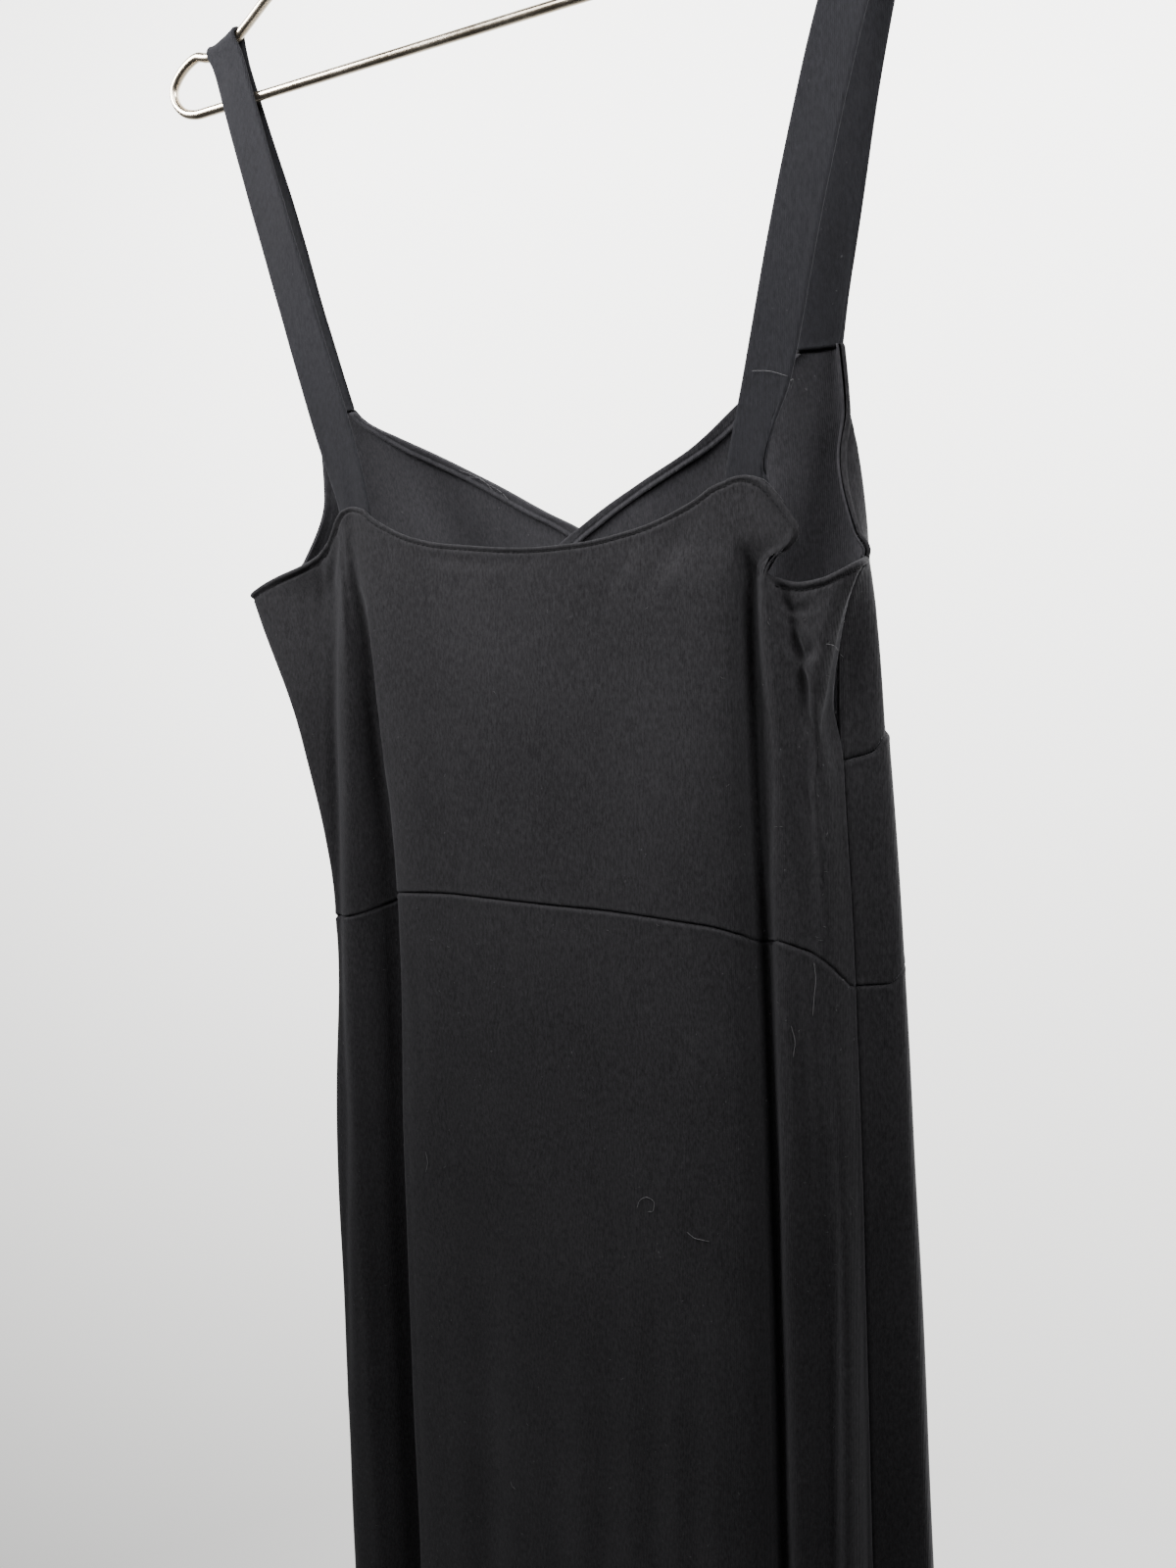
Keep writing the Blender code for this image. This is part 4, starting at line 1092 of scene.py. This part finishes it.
FLOOR_R = 0.60
FLOOR_SIDES = 128
FLOOR_BELOW_HEM = 120.0


def make_stage():
    """A pale round floor, well below the hem."""
    z = place((0, 0, HEM_Z - FLOOR_BELOW_HEM)).z
    turns = [math.tau * k / FLOOR_SIDES for k in range(FLOOR_SIDES)]
    corners = [(FLOOR_R * math.cos(turn), FLOOR_R * math.sin(turn), z) for turn in turns]
    material = principled("pale_floor", (0.62, 0.617, 0.61), 0.95)[0]
    floor = add_object("floor", new_mesh("floor", corners, [tuple(range(FLOOR_SIDES))], material))


# Lamps: name, place and target in metres, side, power, colour, spread in degrees
DAYLIGHT = (1.0, 0.985, 0.985)
LAMPS = (
    ("lamp_left", (-0.64, -0.40, 0.08), (0, 0, -0.22), 0.35, 8.4, DAYLIGHT, 115),
    ("lamp_middle", (-0.10, -0.52, 0.12), (0, 0, -0.22), 0.35, 2.8, DAYLIGHT, 115),
    ("lamp_right", (0.68, -0.36, 0.10), (0.05, 0, -0.22), 0.35, 6.3, DAYLIGHT, 115),
    ("behind", (0.8, 1.7, 0.4), (0, 0, -0.6), 1.4, 10, (1.0, 0.99, 0.98), 180),
)


def make_lights():
    """The lamps, and a world that is bright behind the dress and above."""
    for name, position, target, side, power, colour, spread in LAMPS:
        data = bpy.data.lights.new(name, "AREA")
        data.shape = "SQUARE"
        data.size = side
        data.energy = power
        data.spread = math.radians(spread)
        data.color = colour
        light = add_object(name, data)
        light.location = position
        light.rotation_euler = (Vector(target) - Vector(position)).to_track_quat("-Z", "Y").to_euler()
    world = bpy.data.worlds.new("studio")
    bpy.context.scene.world = world
    world.use_nodes = True
    tree = world.node_tree
    background = tree.nodes["Background"]
    background.inputs["Color"].default_value = (1.0, 0.992, 0.972, 1.0)
    split = add_node(tree, "SeparateXYZ", Vector=add_node(tree, "TexCoord").outputs["Generated"])
    back = add_range(tree, split.outputs["Y"], From_Min=0.05, From_Max=0.75, To_Min=0.06, To_Max=3.6)
    rise = add_range(tree, split.outputs["Z"], From_Min=-0.65, From_Max=0.30, To_Min=0.50, To_Max=1.55)
    feed(tree, background.inputs["Strength"], add_math(tree, "Math", "MULTIPLY", back, rise))


# Heading, downward pitch and roll in degrees, and place from the bar in millimetres
CAMERA_HEADING, CAMERA_PITCH, CAMERA_ROLL = 28.77, 10.96, -2.94
CAMERA_PLACE = (305.4, -518.9, -245.4)
CAMERA_LENS = 27.0


def make_camera():
    """The photo's camera."""
    heading, pitch, roll = (math.radians(value) for value in (CAMERA_HEADING, CAMERA_PITCH, CAMERA_ROLL))
    flat = math.cos(pitch)
    ahead = Vector((-math.sin(heading) * flat, math.cos(heading) * flat, -math.sin(pitch)))
    level = Vector((math.cos(heading), math.sin(heading), 0.0))
    upright = level.cross(ahead)
    right = math.cos(roll) * level + math.sin(roll) * upright
    up = math.cos(roll) * upright - math.sin(roll) * level
    data = bpy.data.cameras.new("camera")
    data.sensor_width = 36.0
    data.lens = CAMERA_LENS
    data.clip_start = 0.01
    camera = add_object("camera", data)
    rows = zip(right, up, -ahead, place(CAMERA_PLACE))
    camera.matrix_world = Matrix((*rows, (0, 0, 0, 1)))
    bpy.context.scene.camera = camera


def build_scene():
    """Camera, floor and lamps, then the dress and its hanger."""
    make_camera()
    make_stage()
    make_lights()
    jersey = jersey_material("black_jersey", (0.0066, 0.0065, 0.0071), (0.0262, 0.0257, 0.0279), 0.0009)
    # The inside of the bust pieces and their bands gets a paler copy of the jersey: painted light, standing
    # in for light that reaches the inside of the front.
    painted_light_inside = jersey_material("jersey_inside_painted_light", (0.0150, 0.0150, 0.0168), (0.0392, 0.0386, 0.0427), 0.0010)
    strap = jersey_material("strap_jersey", (0.0084, 0.0085, 0.0099), (0.0184, 0.0187, 0.0215), 0.0008)
    thread = thread_material("black_thread", (0.012, 0.012, 0.013))
    pale = thread_material("pale_lint", (0.13, 0.13, 0.135))
    metal = wire_material()
    make_panels(jersey)
    left = make_bust("left", float(FULL_TURN), NECK_LEFT, -1, jersey, painted_light_inside)
    right = make_bust("right", float(SEAM_RIGHT), NECK_RIGHT, 1, jersey, painted_light_inside)
    make_strap("strap_left_cloth", -1, TUCK_LEFT, STRAP_BACK_LEFT, STRAP_FRONT_LEFT, left, strap)
    make_strap("strap_right_cloth", 1, TUCK_RIGHT, STRAP_BACK_RIGHT, STRAP_FRONT_RIGHT, right, strap)
    make_stitches(thread)
    make_lint(pale)
    make_hanger(metal)


build_scene()
